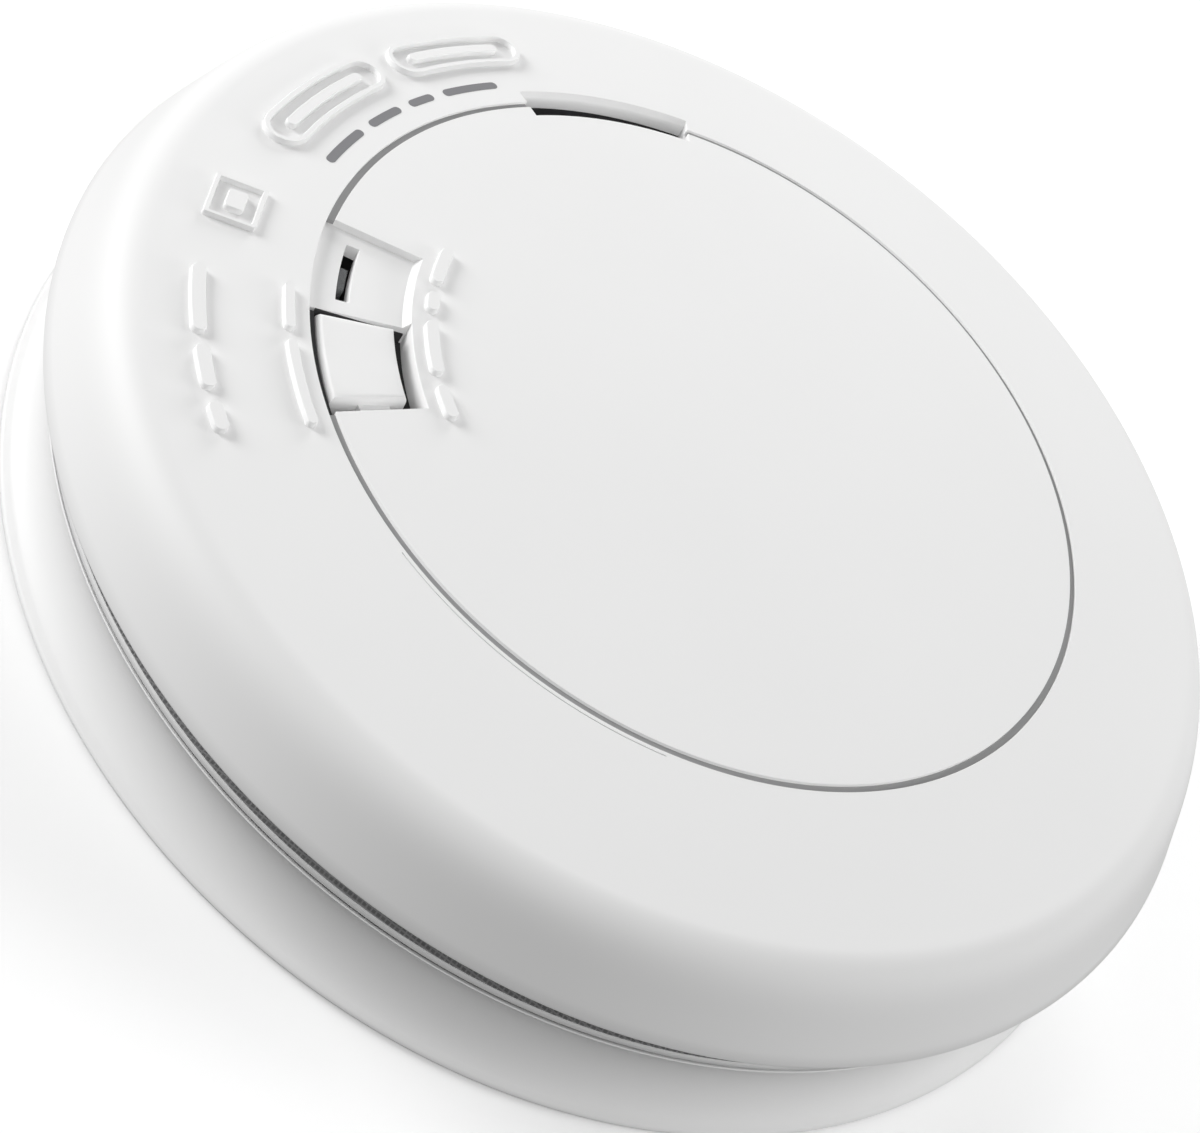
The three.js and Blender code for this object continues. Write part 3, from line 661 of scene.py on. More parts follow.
def make_cover():
    crisp = fillet(0.05, GROOVE_DEPTH, 0.02, (0, 45, 84))
    bevel = [(0, 0), (0.03, 0.01), (0.1, 0.08), (0.62, 0.82), (0.7, GROOVE_DEPTH)]
    lip = fillet(0.1, 1.2, 0.02)
    chamfer = [(0, 0), (0.04, 0.03), (0.5, 0.58), (0.56, 0.7), (0.58, 1.2)]
    groove = Groove(GROOVE_R0, GROOVE_R1, crisp)
    pocket = Sector(36.2, GROOVE_R1, POCKET_A0, POCKET_SPLIT + 2, [bevel, crisp, crisp, crisp])
    well = Sector(POCKET_R0, GROOVE_R1, POCKET_SPLIT, POCKET_A1, lip, through=True)
    horn = Sector(*HORN_SLOT, [lip, chamfer, lip, lip], through=True)
    window = Sector(*WINDOW, fillet(0.08, 0.4, 0.02), through=True, floor=GROOVE_DEPTH)
    hairline = ArcBar(47.55, 0.07, -109.5, -70, [(0, 0), (0.02, 0.25)])
    holes = [well, horn, window]

    near_wall = [(0, 0), (0.05, 3)]
    skirts = [
        (Sector(34.8, 48.4, POCKET_SPLIT - 1.6, POCKET_A1 + 1.6, near_wall), SKIRT_Z),
        (Sector(35.2, 48.4, POCKET_A0 - 1.6, POCKET_SPLIT - 1.4, near_wall), WINDOW_UNDER_Z),
        (Sector(43.5, 49.8, 119.6, 149.6, near_wall), HORN_SKIRT_Z),
    ]

    def under(x, y, depth=0):
        lows = [z for skirt, z in skirts if skirt.distance(x, y) > 0.04]
        return min([dome_z(math.hypot(x, y)) - WALL, *lows])

    def top(x, y, depth):
        return dome_z(math.hypot(x, y)) - depth

    shell = Shell()
    face = [groove, pocket, hairline, *holes, *face_marks()]
    seams = shell.relief([circle(FACE_EDGE_R)], face, top, hole_bottom=under)
    shell.lathe(cover_side())
    skirt_loops = [skirt.loop(offset) for skirt, _ in skirts for offset in (0, 0.05)]
    shell.relief([circle(61)], [Pierced(hole) for hole in holes], under, up=False, extra=skirt_loops + seams)
    post = [(1.7, 27), (1.7, 16.5), (1.9, 16.3), (3.0, 16.3), (3.2, 16.6), (3.2, 27)]
    for angle in SCREW_ANGLES:
        shell.lathe(post, 40, *polar(SCREW_R, angle))
    for ear_r in (37.4, 45.0):
        shell.box((ear_r, -1.9, 24.2), (ear_r + 1.2, 1.9, 27.8), turn=HINGE_ANGLE)
    return shell.make("cover_shell", "alarm", WHITE, ["front_cover"], dome=True)


# ---------------------------------------------------------------- test button and what lies under it
def make_button():
    shell = Shell()
    drop = [(0, 3.3), (0.1, 0.75), (0.15, 0.45), (0.26, 0.2), (0.42, 0.06), (0.62, 0)]
    outer_drop = [(0, 3.3), (0.04, 0.95), (0.12, 0.62), (0.38, 0.2), (0.5, 0.06), (0.66, 0)]
    body = Sector(37.75, 46.2, -147.2, -132.55, [drop, outer_drop, drop, drop])

    def top(x, y, depth):
        falls = [np.interp(d, *zip(*edge)) for d, edge in zip(body.distances(x, y), body.sides)]
        return dome_z(math.hypot(x, y)) - 0.3 - float(max(falls))

    def bottom(x, y, depth):
        return dome_z(math.hypot(x, y)) - 0.3 - drop[0][1]

    rims = [body.loop(*[edge[i][0] for edge in body.sides]) for i in range(len(drop))]
    shell.relief(rims[:1], [], top, extra=rims[1:], spacing=1.2)
    shell.relief(rims[:1], [], bottom, up=False, spacing=2)
    shell.box((39.3, -4.2, 25.9), (42.8, -1.0, 27.9), turn=HINGE_ANGLE)
    shell.box((39.3, -1.2, 25.3), (42.8, 0.4, 26.6), turn=HINGE_ANGLE)
    pin = shell.lathe([(0, 37.4), (0.75, 37.4), (0.9, 37.6), (0.9, 46), (0.75, 46.2), (0, 46.2)], 32)
    shell.place(pin, lambda x, y, z: (*turned_to(HINGE_ANGLE, z, y), 25.8 - x))
    shell.lathe([(0, 19.9), (1.2, 19.9), (1.6, 20.3), (1.6, 26), (0, 26)], 32, *polar(STEM_R, STEM_ANGLE))
    return shell.make("button_cap", "test_button", BUTTON_WHITE, ["test_button"])


def turned_to(angle, along, across):
    """A point given along and across a radius that lies at an angle."""
    c, s = math.cos(math.radians(angle)), math.sin(math.radians(angle))
    return c * along - s * across, s * along + c * across


def make_seal_and_gap_shade():
    """A dark foam gasket under the button and the window, with lips that close the button's gaps. The lips
    are painted shade: dark slabs in place of the deep shadow in the gaps.
    """
    shell = Shell()
    top, bottom = 24.3, 23.3
    pad = ring_loop(34.6, 48.6, -165.8, -129.0)
    stem_way = disc(*polar(STEM_R, STEM_ANGLE), 2.4, FLAT, through=True)
    pipe_way = Sector(42.4, 44.4, -159.6, -154, FLAT, through=True)
    shell.relief([pad], [stem_way, pipe_way], lambda x, y, d: top, hole_bottom=lambda x, y: bottom)
    shell.relief([pad], [stem_way, pipe_way], lambda x, y, d: bottom, up=False)
    shell.wall(pad, bottom, top)
    lips = [  # inner and outer radius, start and end angle, and top; every lip is painted shade in a gap
        (36.15, 37.5, -148.2, -130.5, 26.6),
        (46.32, 47.12, -147.6, -130.35, 28.05),
        (37.5, 46.32, -131.9, -130.5, 25.2),
        (36.5, 46.2, -148.33, -147.95, 28.0),
    ]
    for *shape, lip_top in lips:
        shell.tower(ring_loop(*shape), top - 0.1, lip_top)
    return shell.make("button_dust_seal", "alarm", FOAM_AND_GAP_SHADE)


def make_horn_gasket():
    """A dark foam ring that joins the slot to the horn's outlet."""
    shell = Shell()
    top, bottom = 26.4, 23.7
    pad = ring_loop(43.6, 49.7, 119.8, 149.4)
    way = Sector(45.3, 48.4, 121.4, 147.5, FLAT, through=True)
    seams = shell.relief([pad], [way], lambda x, y, d: top, hole_bottom=lambda x, y: bottom)
    shell.relief([pad], [Pierced(way)], lambda x, y, d: bottom, up=False, extra=seams)
    shell.wall(pad, bottom, top)
    return shell.make("horn_slot_gasket", "alarm", FOAM_AND_GAP_SHADE, ["horn_gasket"])


def make_light_pipe():
    shell = Shell()
    shell.tower(ring_loop(41.6, 45.2, -161.7, -150.8), 18.6, 20.1)
    shell.tower(ring_loop(42.95, 43.85, -158.9, -154.7), 20, 26.9)
    return shell.make("window_light_pipe", "alarm", CLEAR, ["light_pipe"], bevel=0.08)


# ---------------------------------------------------------------- rear housing
def make_housing():
    shell = Shell()
    outer = [(62.6, 3), (63.1, 3.15), (63.45, 3.55), (63.5, 3.9), (63.8, 11.9),
             (68.9, 11.9), (69.05, 11.97), (69.1, 12.1), (69.1, 12.6), (69.05, 12.73),
             (68.9, 12.8), (62.1, 12.8), (62, 12.7), (61.8, 4.9), (61.5, 4.6)]
    shell.lathe(outer)
    counterbore = fillet(0.25, 0.9)
    bores = [disc(*polar(SCREW_R, angle), 2.8, counterbore, True) for angle in SCREW_ANGLES]
    door = RoundBox(23, 0.3, 16, 29.3, 0.6, fillet(0.15, 0.9), True)
    label = RoundBox(-26, 0, 17, 24, 1.5, [(0, 0), (0.05, 0.35)])
    ticks = [RoundBox(0, y, 3.2, 0.5, 0.5, [(0, 0), (0.12, 0.3)]) for y in (-47, -45, 45, 47)]
    back = [*bores, door, label, *ticks]
    seams = shell.relief([circle(62.6)], back, lambda x, y, d: 3 + d, up=False, hole_bottom=lambda x, y: 4.6)
    under = [Pierced(hole) for hole in (*bores, door)]
    shell.relief([circle(61.5)], under, lambda x, y, d: 4.6, extra=seams)
    tube = [(2.75, 4.4), (2.75, 14.4), (1.8, 14.4), (1.8, 16), (3.4, 16), (3.6, 15.8), (3.6, 4.4)]
    for angle in SCREW_ANGLES:
        shell.lathe(tube, 40, *polar(SCREW_R, angle))
    for i in range(RIBS):
        shell.box((66.9, -0.4, 12.6), (67.9, 0.4, 16.1), turn=360 / RIBS * (i + 0.5))
    shell.lathe([(66.8, 16.0), (66.8, 16.3), (68.0, 16.3), (68.0, 16.0), (66.8, 16.0)])
    for angle in LUG_ANGLES:
        shell.tower(ring_loop(63, 65.4, angle - 5, angle + 6), 4.9, 6.4)
    walls = [((5, -31, 4.2), (6.5, 31, 21.5)), ((39.5, -31, 4.2), (41, 31, 21.5)),
             ((6, -31, 4.2), (40, -29.5, 14.6)), ((6, 29.5, 4.2), (40, 31, 21.5)),
             ((6, -31, 16), (40, -29.5, 21.5)), ((6, -30.5, 20), (40, 30.5, 21.5)),
             ((22.6, -22, 18.2), (23.4, 22, 20.4))]
    for low, high in walls:
        shell.box(low, high)
    for x, y in BOARD_SCREWS:
        shell.lathe([(1.5, 4.4), (1.5, 12.5), (1.7, 12.7), (2.6, 12.7), (2.8, 12.4), (2.8, 4.4)], 32, x, y)
    return shell.make("housing_shell", "alarm", WHITE, ["rear_housing"])


def make_screen_and_shade_foot():
    """A grey insect screen behind the ribs of the air inlet, with a foot that lies on the flange. The foot
    and the screen's dark band are painted shade for the shadow gap under the cover's lip.
    """
    shell = Shell()
    # the foot out to the flange's rim is painted shade under the cover's lip
    shell.lathe([(66.4, 12.8), (68.95, 12.8), (68.95, 12.95), (66.75, 13.1), (66.7, 16.6), (66.4, 16.6),
                 (66.4, 12.8)])
    return shell.make("inlet_screen", "alarm", SCREEN_AND_SHADE)


def make_label():
    """A blank sticker in the shallow recess of the back."""
    shell = Shell()
    sticker = RoundBox(-26, 0, 16.6, 23.6, 1.2, FLAT)
    shell.tower(sticker.loop(0), 3.1, 3.3)
    return shell.make("blank_label", "alarm", LABEL)


# ---------------------------------------------------------------- battery door
def make_door():
    shell = Shell()
    panel = RoundBox(23, -0.35, 15.6, 28.25, 0.8, FLAT)
    edge = [(0, 0.3), (0.05, 0.14), (0.14, 0.04), (0.3, 0)]
    rims = [panel.loop(offset) for offset, _ in edge]
    grips = [RoundBox(23, -26.3 + 1.5 * i, 6 - 0.5 * i, 0.35, 0.35, [(0, 0), (0.1, -0.2), (0.25, -0.28)])
             for i in range(6)]
    border = RoundBox(23, 2, 12.5, 21, 1.5, [(0, 0), (0.12, 0.18), (0.5, 0.18), (0.62, 0)])

    def outside(x, y, depth):
        return 3.3 + depth + float(np.interp(panel.distance(x, y), *zip(*edge)))

    shell.relief(rims[:1], [*grips, border], outside, up=False, extra=rims[1:])
    shell.wall(rims[0], 3.6, 4.6)
    shell.relief(rims[:1], [], lambda x, y, d: 4.6)
    for x in (7.4, 37.0):
        shell.box((x, 26, 4.2), (x + 1.6, 27.9, 5.8))
    for x0 in (5.8, 38.1):
        x1 = x0 + 2.1
        pin = shell.lathe([(0, x0), (0.6, x0), (0.7, x0 + 0.1), (0.7, x0 + 2), (0.6, x1), (0, x1)], 24)
        shell.place(pin, lambda x, y, z: (z, 27.2 + x, 4.9 + y))
    shell.box((18, -29.4, 4.2), (28, -28.2, 5.0))
    return shell.make("door_panel", "battery_door", WHITE, ["battery_door"])


# ---------------------------------------------------------------- mounting bracket
def make_bracket():
    shell = Shell()
    cove = bezier((BASE_R - 0.9, 0.95), (68.6, 1.9), (67.2, 4.6), (67.5, 7.6), 12)
    flare = bezier((67.5, 7.6), (67.7, 9.2), (68.3, 10.4), (69.0, 11.15), 6)[1:]
    rim = [(BASE_R - 0.35, 0), (BASE_R - 0.1, 0.1), (BASE_R, 0.35), (BASE_R - 0.08, 0.6),
           (BASE_R - 0.35, 0.8)]
    top = [(69.05, 11.28), (68.95, 11.38), (68.75, 11.38), (68.6, 11.28)]
    inside = bezier((68.3, 10.9), (66.6, 9.2), (65.9, 6), (66.4, 2.2), 8)
    shell.lathe(rim + cove + flare + top + inside)
    lip = fillet(0.3, 1.1, 0.01)
    slots = [RoundBox(*polar(59, a), 2.5, 8, 2.5, lip, True, a) for a in (0, 90, 180, 270)]
    dimples = [disc(*polar(59, a), 1.6, fillet(0.3, 0.5)) for a in (45, 135, 225, 315)]
    inner = circle(52.3)
    seams = shell.relief([circle(66.4), inner], [*slots, *dimples], lambda x, y, d: 2.2 - d,
                         hole_bottom=lambda x, y: 1.1)
    shell.relief([circle(BASE_R - 0.35), inner], slots, lambda x, y, d: d, up=False, extra=seams)
    shell.lathe([(52.3, 0), (52.08, 0.08), (52, 0.3), (52, 1.9), (52.08, 2.12), (52.3, 2.2)])
    for angle in LUG_ANGLES:
        shell.tower(ring_loop(64.2, 66.8, angle - 6, angle + 6), 7, 8.6)
        shell.tower(ring_loop(64.4, 66.8, angle - 8.4, angle - 6), 2, 8.6)
    return shell.make("bracket_shell", "bracket", WHITE, ["mounting_bracket"])


make_cover()
make_groove_shade_ring()
make_print()
make_button()
make_seal_and_gap_shade()
make_horn_gasket()
make_light_pipe()
make_housing()
make_screen_and_shade_foot()
make_label()
make_door()
make_bracket()


# ---------------------------------------------------------------- cells, contacts and screws
def turned_piece(name, body, material, node, profile, x=0.0, y=0.0, steps=96, move=None):
    """One piece turned from a profile, and then moved."""
    shell = Shell()
    start = shell.lathe(profile, steps, x, y)
    if move:
        shell.place(start, move)
    return shell.make(name, body, material, node)


def make_cells():
    """Two AA cells that lie along Y, one each way, each a steel can in a printed sleeve."""
    for i, (x, way) in enumerate(CELLS, 1):
        def along(px, py, pz, x=x, way=way):
            return x + px, way * pz, CELL_Z + py

        can = [(0, -22.7), (5.9, -22.7), (6.6, -22.5), (6.6, -21.5), (6.6, 25), (6.2, 25.7), (5.6, 26.1),
               (2.75, 26.2), (2.7, 27.6), (2.5, 27.8), (0, 27.8)]
        sleeve = [(5.6, -22.6), (6.7, -22.7), (7.0, -22.55), (7.1, -22.2), (7.1, 25.8), (7.0, 26.1),
                  (6.7, 26.3), (5.4, 26.3), (5.2, 26.15)]
        turned_piece(f"cell_can_{i}", "alarm", STEEL, (), can, steps=64, move=along)
        turned_piece(f"cell_sleeve_{i}", "alarm", WRAP, [f"battery_cell_{i}"],
                     sleeve + [(5.2, 25.9), (6.5, 25.8), (6.5, -22.4), (5.6, -22.6)], steps=64, move=along)


def tube(shell, path, radius, sides=10):
    """A round wire along a path."""
    points = [Vector(p) for p in path]
    side = Vector((0, 0, 1))
    rings = []
    for i, p in enumerate(points):
        ahead = (points[min(i + 1, len(points) - 1)] - points[max(i - 1, 0)]).normalized()
        side = (side - ahead * side.dot(ahead)).normalized()
        other = ahead.cross(side)
        turns = [2 * math.pi * k / sides for k in range(sides)]
        rings.append([p + (side * math.cos(t) + other * math.sin(t)) * radius for t in turns])
    start = shell.add([v for ring in rings for v in ring], [])
    for i in range(len(rings) - 1):
        a = start + i * sides
        shell.faces += [(a + k, a + (k + 1) % sides, a + sides + (k + 1) % sides, a + sides + k)
                        for k in range(sides)]
    last = start + (len(rings) - 1) * sides
    shell.faces += [tuple(start + k for k in reversed(range(sides))), tuple(last + k for k in range(sides))]


def make_springs():
    """A coil spring at each cell's flat end, which narrows towards the cell."""
    turns, steps = 4.5, 180
    for i, (x, way) in enumerate(CELLS, 1):
        path = []
        for k in range(steps + 1):
            t = k / steps
            angle, r = 2 * math.pi * turns * t, 4.4 - 1.6 * t
            path.append((x + r * math.cos(angle), way * (-27.5 + 4.2 * t), CELL_Z + r * math.sin(angle)))
        shell = Shell()
        tube(shell, path, 0.38)
        shell.make(f"spring_coil_{i}", "alarm", STEEL, [f"contact_spring_{i}"])


def make_screw(name, node, x, y, face_z, head_r, end_z):
    """A pan head screw with a cross recess. Its head faces away from its end."""
    up = 1 if end_z > face_z else -1
    cross = [(0, 0), (0.06, 0.7), (0.1, 0.75)]
    arm = head_r * 0.62
    recess = [RoundBox(0, 0, arm, 0.36, 0.1, cross), RoundBox(0, 0, 0.36, arm, 0.1, cross)]

    def crown(px, py, depth=0):
        return -1.7 + 0.35 * (math.hypot(px, py) / head_r) ** 2 + depth

    shell = Shell()
    edge_r = head_r * 0.96
    shell.relief([circle(edge_r, 40)], recess, crown, up=False, spacing=1.0)
    side = [(edge_r, crown(edge_r, 0)), (head_r, -1.2), (head_r, -0.1), (head_r - 0.1, 0), (1.3, 0)]
    length = abs(end_z - face_z)
    threads = []
    for k in range(int(length / 0.8)):
        threads += [(1.0, 0.3 + 0.8 * k), (1.3, 0.5 + 0.8 * k), (1.0, 0.7 + 0.8 * k)]
    shell.lathe(side + [(1.0, 0.1)] + threads + [(0.9, length - 0.3), (0, length)], 40)
    shell.place(0, lambda px, py, pz: (x + px, y + up * py, face_z + up * pz))
    return shell.make(name, "alarm", STEEL, [node])


make_cells()
make_springs()
for number, screw_angle in enumerate(SCREW_ANGLES, 1):
    make_screw(f"pan_screw_{number}", f"housing_screw_{number}", *polar(SCREW_R, screw_angle), 14.1, 2.4, 22)
for number, screw_place in enumerate(BOARD_SCREWS, 1):
    make_screw(f"small_screw_{number}", f"board_screw_{number}", *screw_place, PART_Z, 2.3, 7.4)


# ---------------------------------------------------------------- what stands on the board
def can_profile(r, height):
    """An electrolytic capacitor: a rolled groove near its foot and a rounded top with a shallow dish."""
    z = PART_Z
    return [(0, z), (r - 0.2, z), (r, z + 0.2), (r, z + 0.9), (r - 0.3, z + 1.3), (r, z + 1.7),
            (r, z + height - 0.4), (r - 0.15, z + height - 0.1), (r - 0.5, z + height),
            (r - 0.9, z + height - 0.1), (r - 1, z + height - 0.2), (0, z + height - 0.2)]


def make_round_parts():
    """Everything on the board that is one turned shape."""
    z = PART_Z
    led = [(0, z), (1.6, z), (1.6, z + 0.5), (1.35, z + 0.6), (1.35, 17.1), (1.2, 17.6), (0.8, 18),
           (0, 18.2)]
    parts = [
        ("chamber_floor", "black_plastic", BLACK, "chamber_base", *CHAMBER,
         [(0, z), (15.8, z), (16, z + 0.2), (16, 16.2), (15.8, 16.4), (2, 16.4), (1, 16.8), (0, 17)]),
        ("chamber_mesh", "steel", STEEL, "chamber_screen", *CHAMBER,
         [(16.4, z), (16.8, z)] + [(16.8 + 0.06 * (k % 2), z + 0.2 + 0.4 * k) for k in range(20)]
         + [(16.8, 22.9), (16.4, 22.9), (16.4, z)]),
        ("gas_cell_can", "steel", STEEL, "co_sensor_cell", *GAS_CELL,
         [(0, z), (7.2, z), (7.2, z + 0.7), (6.9, z + 1), (6.6, z + 1.2), (6.6, 22.2), (6.45, 22.6),
          (6, 23), (0, 23)]),
        ("gas_cell_cap", "shell_white", WHITE, "co_sensor_cap", *GAS_CELL,
         [(1.2, 23.3), (5.4, 23.3), (5.6, 23.5), (5.6, 24.2), (5.4, 24.5), (5, 24.6), (2, 24.6), (1.4, 24.4),
          (1.2, 24), (1.2, 23.3)]),
        ("sounder_disc", "brass", BRASS, "piezo_disc", *HORN,
         [(0, 17), (15, 17), (15, 17.2), (10.2, 17.2), (10, 17.5), (0, 17.5)]),
        ("lamp_red", "red_lamp", RED_LAMP, "status_light_red", *polar(43.4, -153), led),
        ("lamp_green", "green_lamp", GREEN_LAMP, "status_light_green", *polar(43.4, -157.6), led),
        ("can_tall", "cell_wrap", WRAP, "capacitor_1", 18, -40, can_profile(3.2, 9)),
        ("can_short", "cell_wrap", WRAP, "capacitor_2", 38, 39, can_profile(3.2, 8)),
        ("inductor_spool", "black_plastic", BLACK, "horn_inductor", 30, -42,
         [(0, z), (4, z), (4, z + 0.9), (3.8, z + 1), (2.6, z + 1), (2.6, z + 6), (3.8, z + 6), (4, z + 6.1),
          (4, z + 6.9), (3.9, z + 7), (0.8, z + 7), (0, z + 6.6)]),
        ("inductor_winding", "brass", BRASS, None, 30, -42,
         [(2.6, z + 1.05)] + [(3.2 + 0.14 * (k % 2), z + 1.1 + 0.2 * k) for k in range(25)]
         + [(2.6, z + 5.95)]),
        ("plunger_cap", "steel", STEEL, "switch_plunger", *polar(STEM_R, STEM_ANGLE),
         [(0, 17.4), (1.7, 17.4), (1.7, 19.3), (1.55, 19.55), (1.3, 19.6), (0, 19.6)]),
    ]
    for name, slot, material, node, x, y, profile in parts:
        body = "switch_plunger" if node == "switch_plunger" else "alarm"
        turned_piece(name, body, material, [node] if node else [], profile, x, y)


def make_chamber_lid():
    """The smoke chamber's lid with a ring of slanted vanes that keep light out."""
    shell = Shell()
    x, y = CHAMBER
    vanes, vane_r, slant = 22, 13.1, 48
    shell.lathe([(0, 22.5), (15.6, 22.5), (15.6, 23), (15.4, 23.3), (15, 23.5), (11, 23.5), (10.8, 23.3),
                 (3, 23.3), (2.8, 23.5), (0, 23.5)], 96, x, y)
    for i in range(vanes):
        def stand(px, py, pz, turn=360 / vanes * i):
            along, across = turned_to(slant, px - vane_r, py)
            along, across = turned_to(turn, vane_r + along, across)
            return x + along, y + across, pz

        start = shell.box((11.4, -0.3, 16.8), (14.9, 0.3, 22.7))
        shell.place(start, stand)
    return shell.make("chamber_lid", "alarm", BLACK, ["chamber_cap"])


def make_horn_cup():
    """The horn's cup, with its outlet under the slot in the cover."""
    shell = Shell()
    top, under = 23.4, 22
    outer_r, inner_r = 16.4, 15.6
    shell.lathe([(inner_r, PART_Z), (18.4, PART_Z), (18.4, 15.8), (18.2, 15.9), (17, 15.9), (17, 22.8),
                 (16.8, 23.2), (outer_r, top)], 120, *HORN)
    shell.lathe([(inner_r, under), (inner_r, PART_Z)], 120, *HORN)
    outlet = Sector(*HORN_OUTLET, fillet(0.2, 0.5), through=True)
    seams = shell.relief([circle(outer_r, 120, *HORN)], [outlet], lambda x, y, d: top - d,
                         hole_bottom=lambda x, y: under, spacing=3)
    shell.relief([circle(inner_r, 120, *HORN)], [Pierced(outlet)], lambda x, y, d: under, up=False,
                 extra=seams, spacing=3)
    return shell.make("horn_cup", "alarm", BLACK, ["horn_housing"])


def make_chip(name, node, x0, x1, y0, y1, height, legs):
    """A chip with its legs bent down to the board on two sides."""
    shell = Shell()
    middle_x, middle_y = (x0 + x1) / 2, (y0 + y1) / 2
    outline = RoundBox(middle_x, middle_y, (x1 - x0) / 2 - 0.7, (y1 - y0) / 2, 0.2, FLAT)
    shell.tower(outline.loop(0.15), PART_Z, PART_Z + height)
    shell.make(name, "alarm", BLACK, [node], bevel=0.12)
    pins = Shell()
    shoulder = PART_Z + height * 0.6
    stretches = [  # how far each stretch of a leg reaches outwards from the chip's box, and its heights
        (-0.8, -0.25, PART_Z + height * 0.45, shoulder),
        (-0.4, -0.25, PART_Z, shoulder),
        (-0.4, 0.2, PART_Z, PART_Z + 0.15),
    ]
    for k in range(legs):
        y = y0 + (y1 - y0) * (k + 0.5) / legs
        for side, edge in ((-1, x0), (1, x1)):
            for near, far, z0, z1 in stretches:
                low, high = sorted((edge + side * near, edge + side * far))
                pins.box((low, y - 0.2, z0), (high, y + 0.2, z1))
    pins.make(f"{name}_legs", "alarm", STEEL)


def make_board():
    """The round board with its notches, its holes and its cut-out for the battery bay."""
    shell = Shell()
    edge = [(0, 0), (0.02, 1.6)]
    bay = RoundBox(23, 0, 18.8, 31.8, 1.0, edge, True)
    notches = [disc(*polar(SCREW_R, angle), 4.1, edge, True) for angle in SCREW_ANGLES]
    drills = [disc(*place, 1.6, edge, True) for place in BOARD_SCREWS]
    via_places = [(56, 20 * k + 33) for k in range(2, 14)] + [(30, 170 + 9 * k) for k in range(6)]
    vias = [disc(*polar(*place), 0.45, edge, True) for place in via_places]
    rim = circle(BOARD_R, 180)
    holes = [bay, *drills, *vias, *notches]
    seams = shell.relief([rim], holes, lambda x, y, d: BOARD_Z1, hole_bottom=lambda x, y: BOARD_Z0)
    under = [Pierced(hole) for hole in holes]
    shell.relief([rim], under, lambda x, y, d: BOARD_Z0, up=False, extra=seams)
    shell.lathe([(BOARD_R, BOARD_Z0), (BOARD_R, BOARD_Z1)], 180)
    shell.make("board_plate", "alarm", BOARD, ["circuit_board"])


make_round_parts()
make_chamber_lid()
make_horn_cup()
make_chip("logic_chip", "microcontroller", 17, 27, 38.5, 48.5, 1.4, 10)
make_chip("driver_chip", "horn_driver_chip", -3, 7, 44, 50, 1.8, 4)
make_board()


# ---------------------------------------------------------------- CAD parts that keep their own shape
KEPT = [
    (BLACK, ("light_sensor", "switch_body")),
    (STEEL, ("contact_plate_negative", "contact_plate_positive", "contact_bridge")),
    (CLEAR, ("infrared_emitter",)),
]
for material, names in KEPT:
    for name in names:
        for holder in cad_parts[name].material_slots:
            holder.material = material


# ---------------------------------------------------------------- stage, lights and camera
def make_stage():
    """A pale floor just under the object. It throws no light back on it."""
    mesh = bpy.data.meshes.new("floor")
    half = 3.0
    corners = [(-half, -half, 0), (half, -half, 0), (half, half, 0), (-half, half, 0)]
    mesh.from_pydata(corners, [], [(0, 1, 2, 3)])
    floor = bpy.data.objects.new("floor", mesh)
    scene.collection.objects.link(floor)
    material, _, shader = new_material("pale_floor")
    shader.inputs["Base Color"].default_value = (0.92, 0.92, 0.92, 1)
    shader.inputs["Roughness"].default_value = 0.9
    shader.inputs["Specular IOR Level"].default_value = 0.1
    shader.inputs["Emission Color"].default_value = (1, 1, 1, 1)
    shader.inputs["Emission Strength"].default_value = 0.2
    mesh.materials.append(material)
    floor.location.z = -0.0002
    floor.visible_diffuse = False
    floor.visible_glossy = False


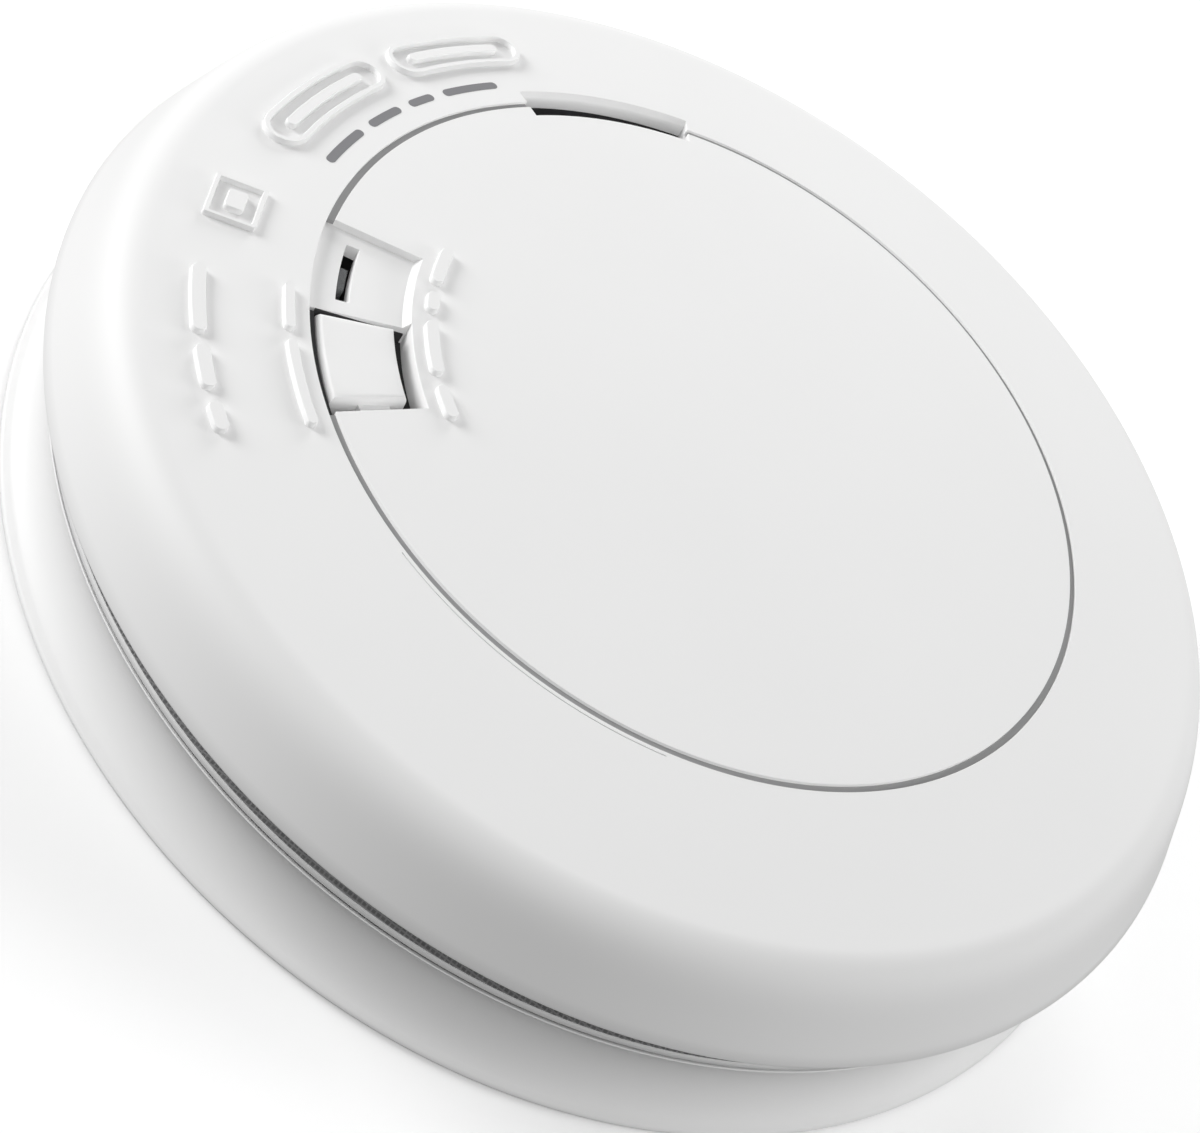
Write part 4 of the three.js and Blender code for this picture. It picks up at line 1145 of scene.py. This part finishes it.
LIGHT_DISTANCE = 1.2
SOFTBOXES = [
    # name, azimuth, elevation, brightness, size in metres, and whether it shows as a reflection
    ("key", -178, 17, 0.88, 0.60, True),
    ("front", -75, 38, 0.24, 0.50, True),
    ("right", 22, 17, 0.43, 0.50, False),
    ("back", 98, 17, 0.54, 0.50, False),
    ("top", 45, 45, 0.10, 0.50, False),
]


def make_light(name, azimuth, elevation, brightness, size, shines):
    """A round softbox aimed at the object."""
    flat, z = polar(LIGHT_DISTANCE, elevation)
    place = Vector((*polar(flat, azimuth), z))
    data = bpy.data.lights.new(name, "AREA")
    data.shape = "DISK"
    data.size = size
    data.energy = brightness * (math.pi * LIGHT_DISTANCE) ** 2
    light = bpy.data.objects.new(name, data)
    light.location = place
    light.rotation_mode = "QUATERNION"
    light.rotation_quaternion = (Vector((0, 0, 0.02)) - place).to_track_quat("-Z", "Y")
    light.visible_glossy = shines
    scene.collection.objects.link(light)


def make_world():
    """A sky that is darker below the horizon than above it."""
    world = bpy.data.worlds.new("studio")
    world.use_nodes = True
    tree = world.node_tree
    place = add_node(tree, "TexCoord").outputs["Generated"]
    height = add_node(tree, "SeparateXYZ", place).outputs["Z"]
    sky = add_node(tree, "MapRange", height, "Value", From_Min=-0.25, From_Max=0.25, To_Min=0.07, To_Max=0.34)
    background = tree.nodes["Background"]
    background.inputs["Color"].default_value = (1, 1, 1, 1)
    tree.links.new(sky.outputs["Result"], background.inputs["Strength"])
    scene.world = world
    scene.view_settings.view_transform = "Standard"


def make_camera():
    """The camera, rolled about its own axis."""
    place = Vector((0, -0.20524, 0.197125))
    aim = Vector((0, -0.029654, 0.0289))
    roll = math.radians(37.8)
    forward = (aim - place).normalized()
    level = Vector((1, 0, 0))
    level_up = level.cross(forward)
    right = level * math.cos(roll) + level_up * math.sin(roll)
    up = level_up * math.cos(roll) - level * math.sin(roll)
    data = bpy.data.cameras.new("camera")
    data.sensor_width = 36
    data.lens = 72.54
    data.clip_start = 0.01
    camera = bpy.data.objects.new("camera", data)
    camera.matrix_world = Matrix((
        (right.x, up.x, -forward.x, place.x),
        (right.y, up.y, -forward.y, place.y),
        (right.z, up.z, -forward.z, place.z),
        (0, 0, 0, 1),
    ))
    scene.collection.objects.link(camera)
    scene.camera = camera


make_stage()
make_world()
make_camera()
for softbox in SOFTBOXES:
    make_light(*softbox)
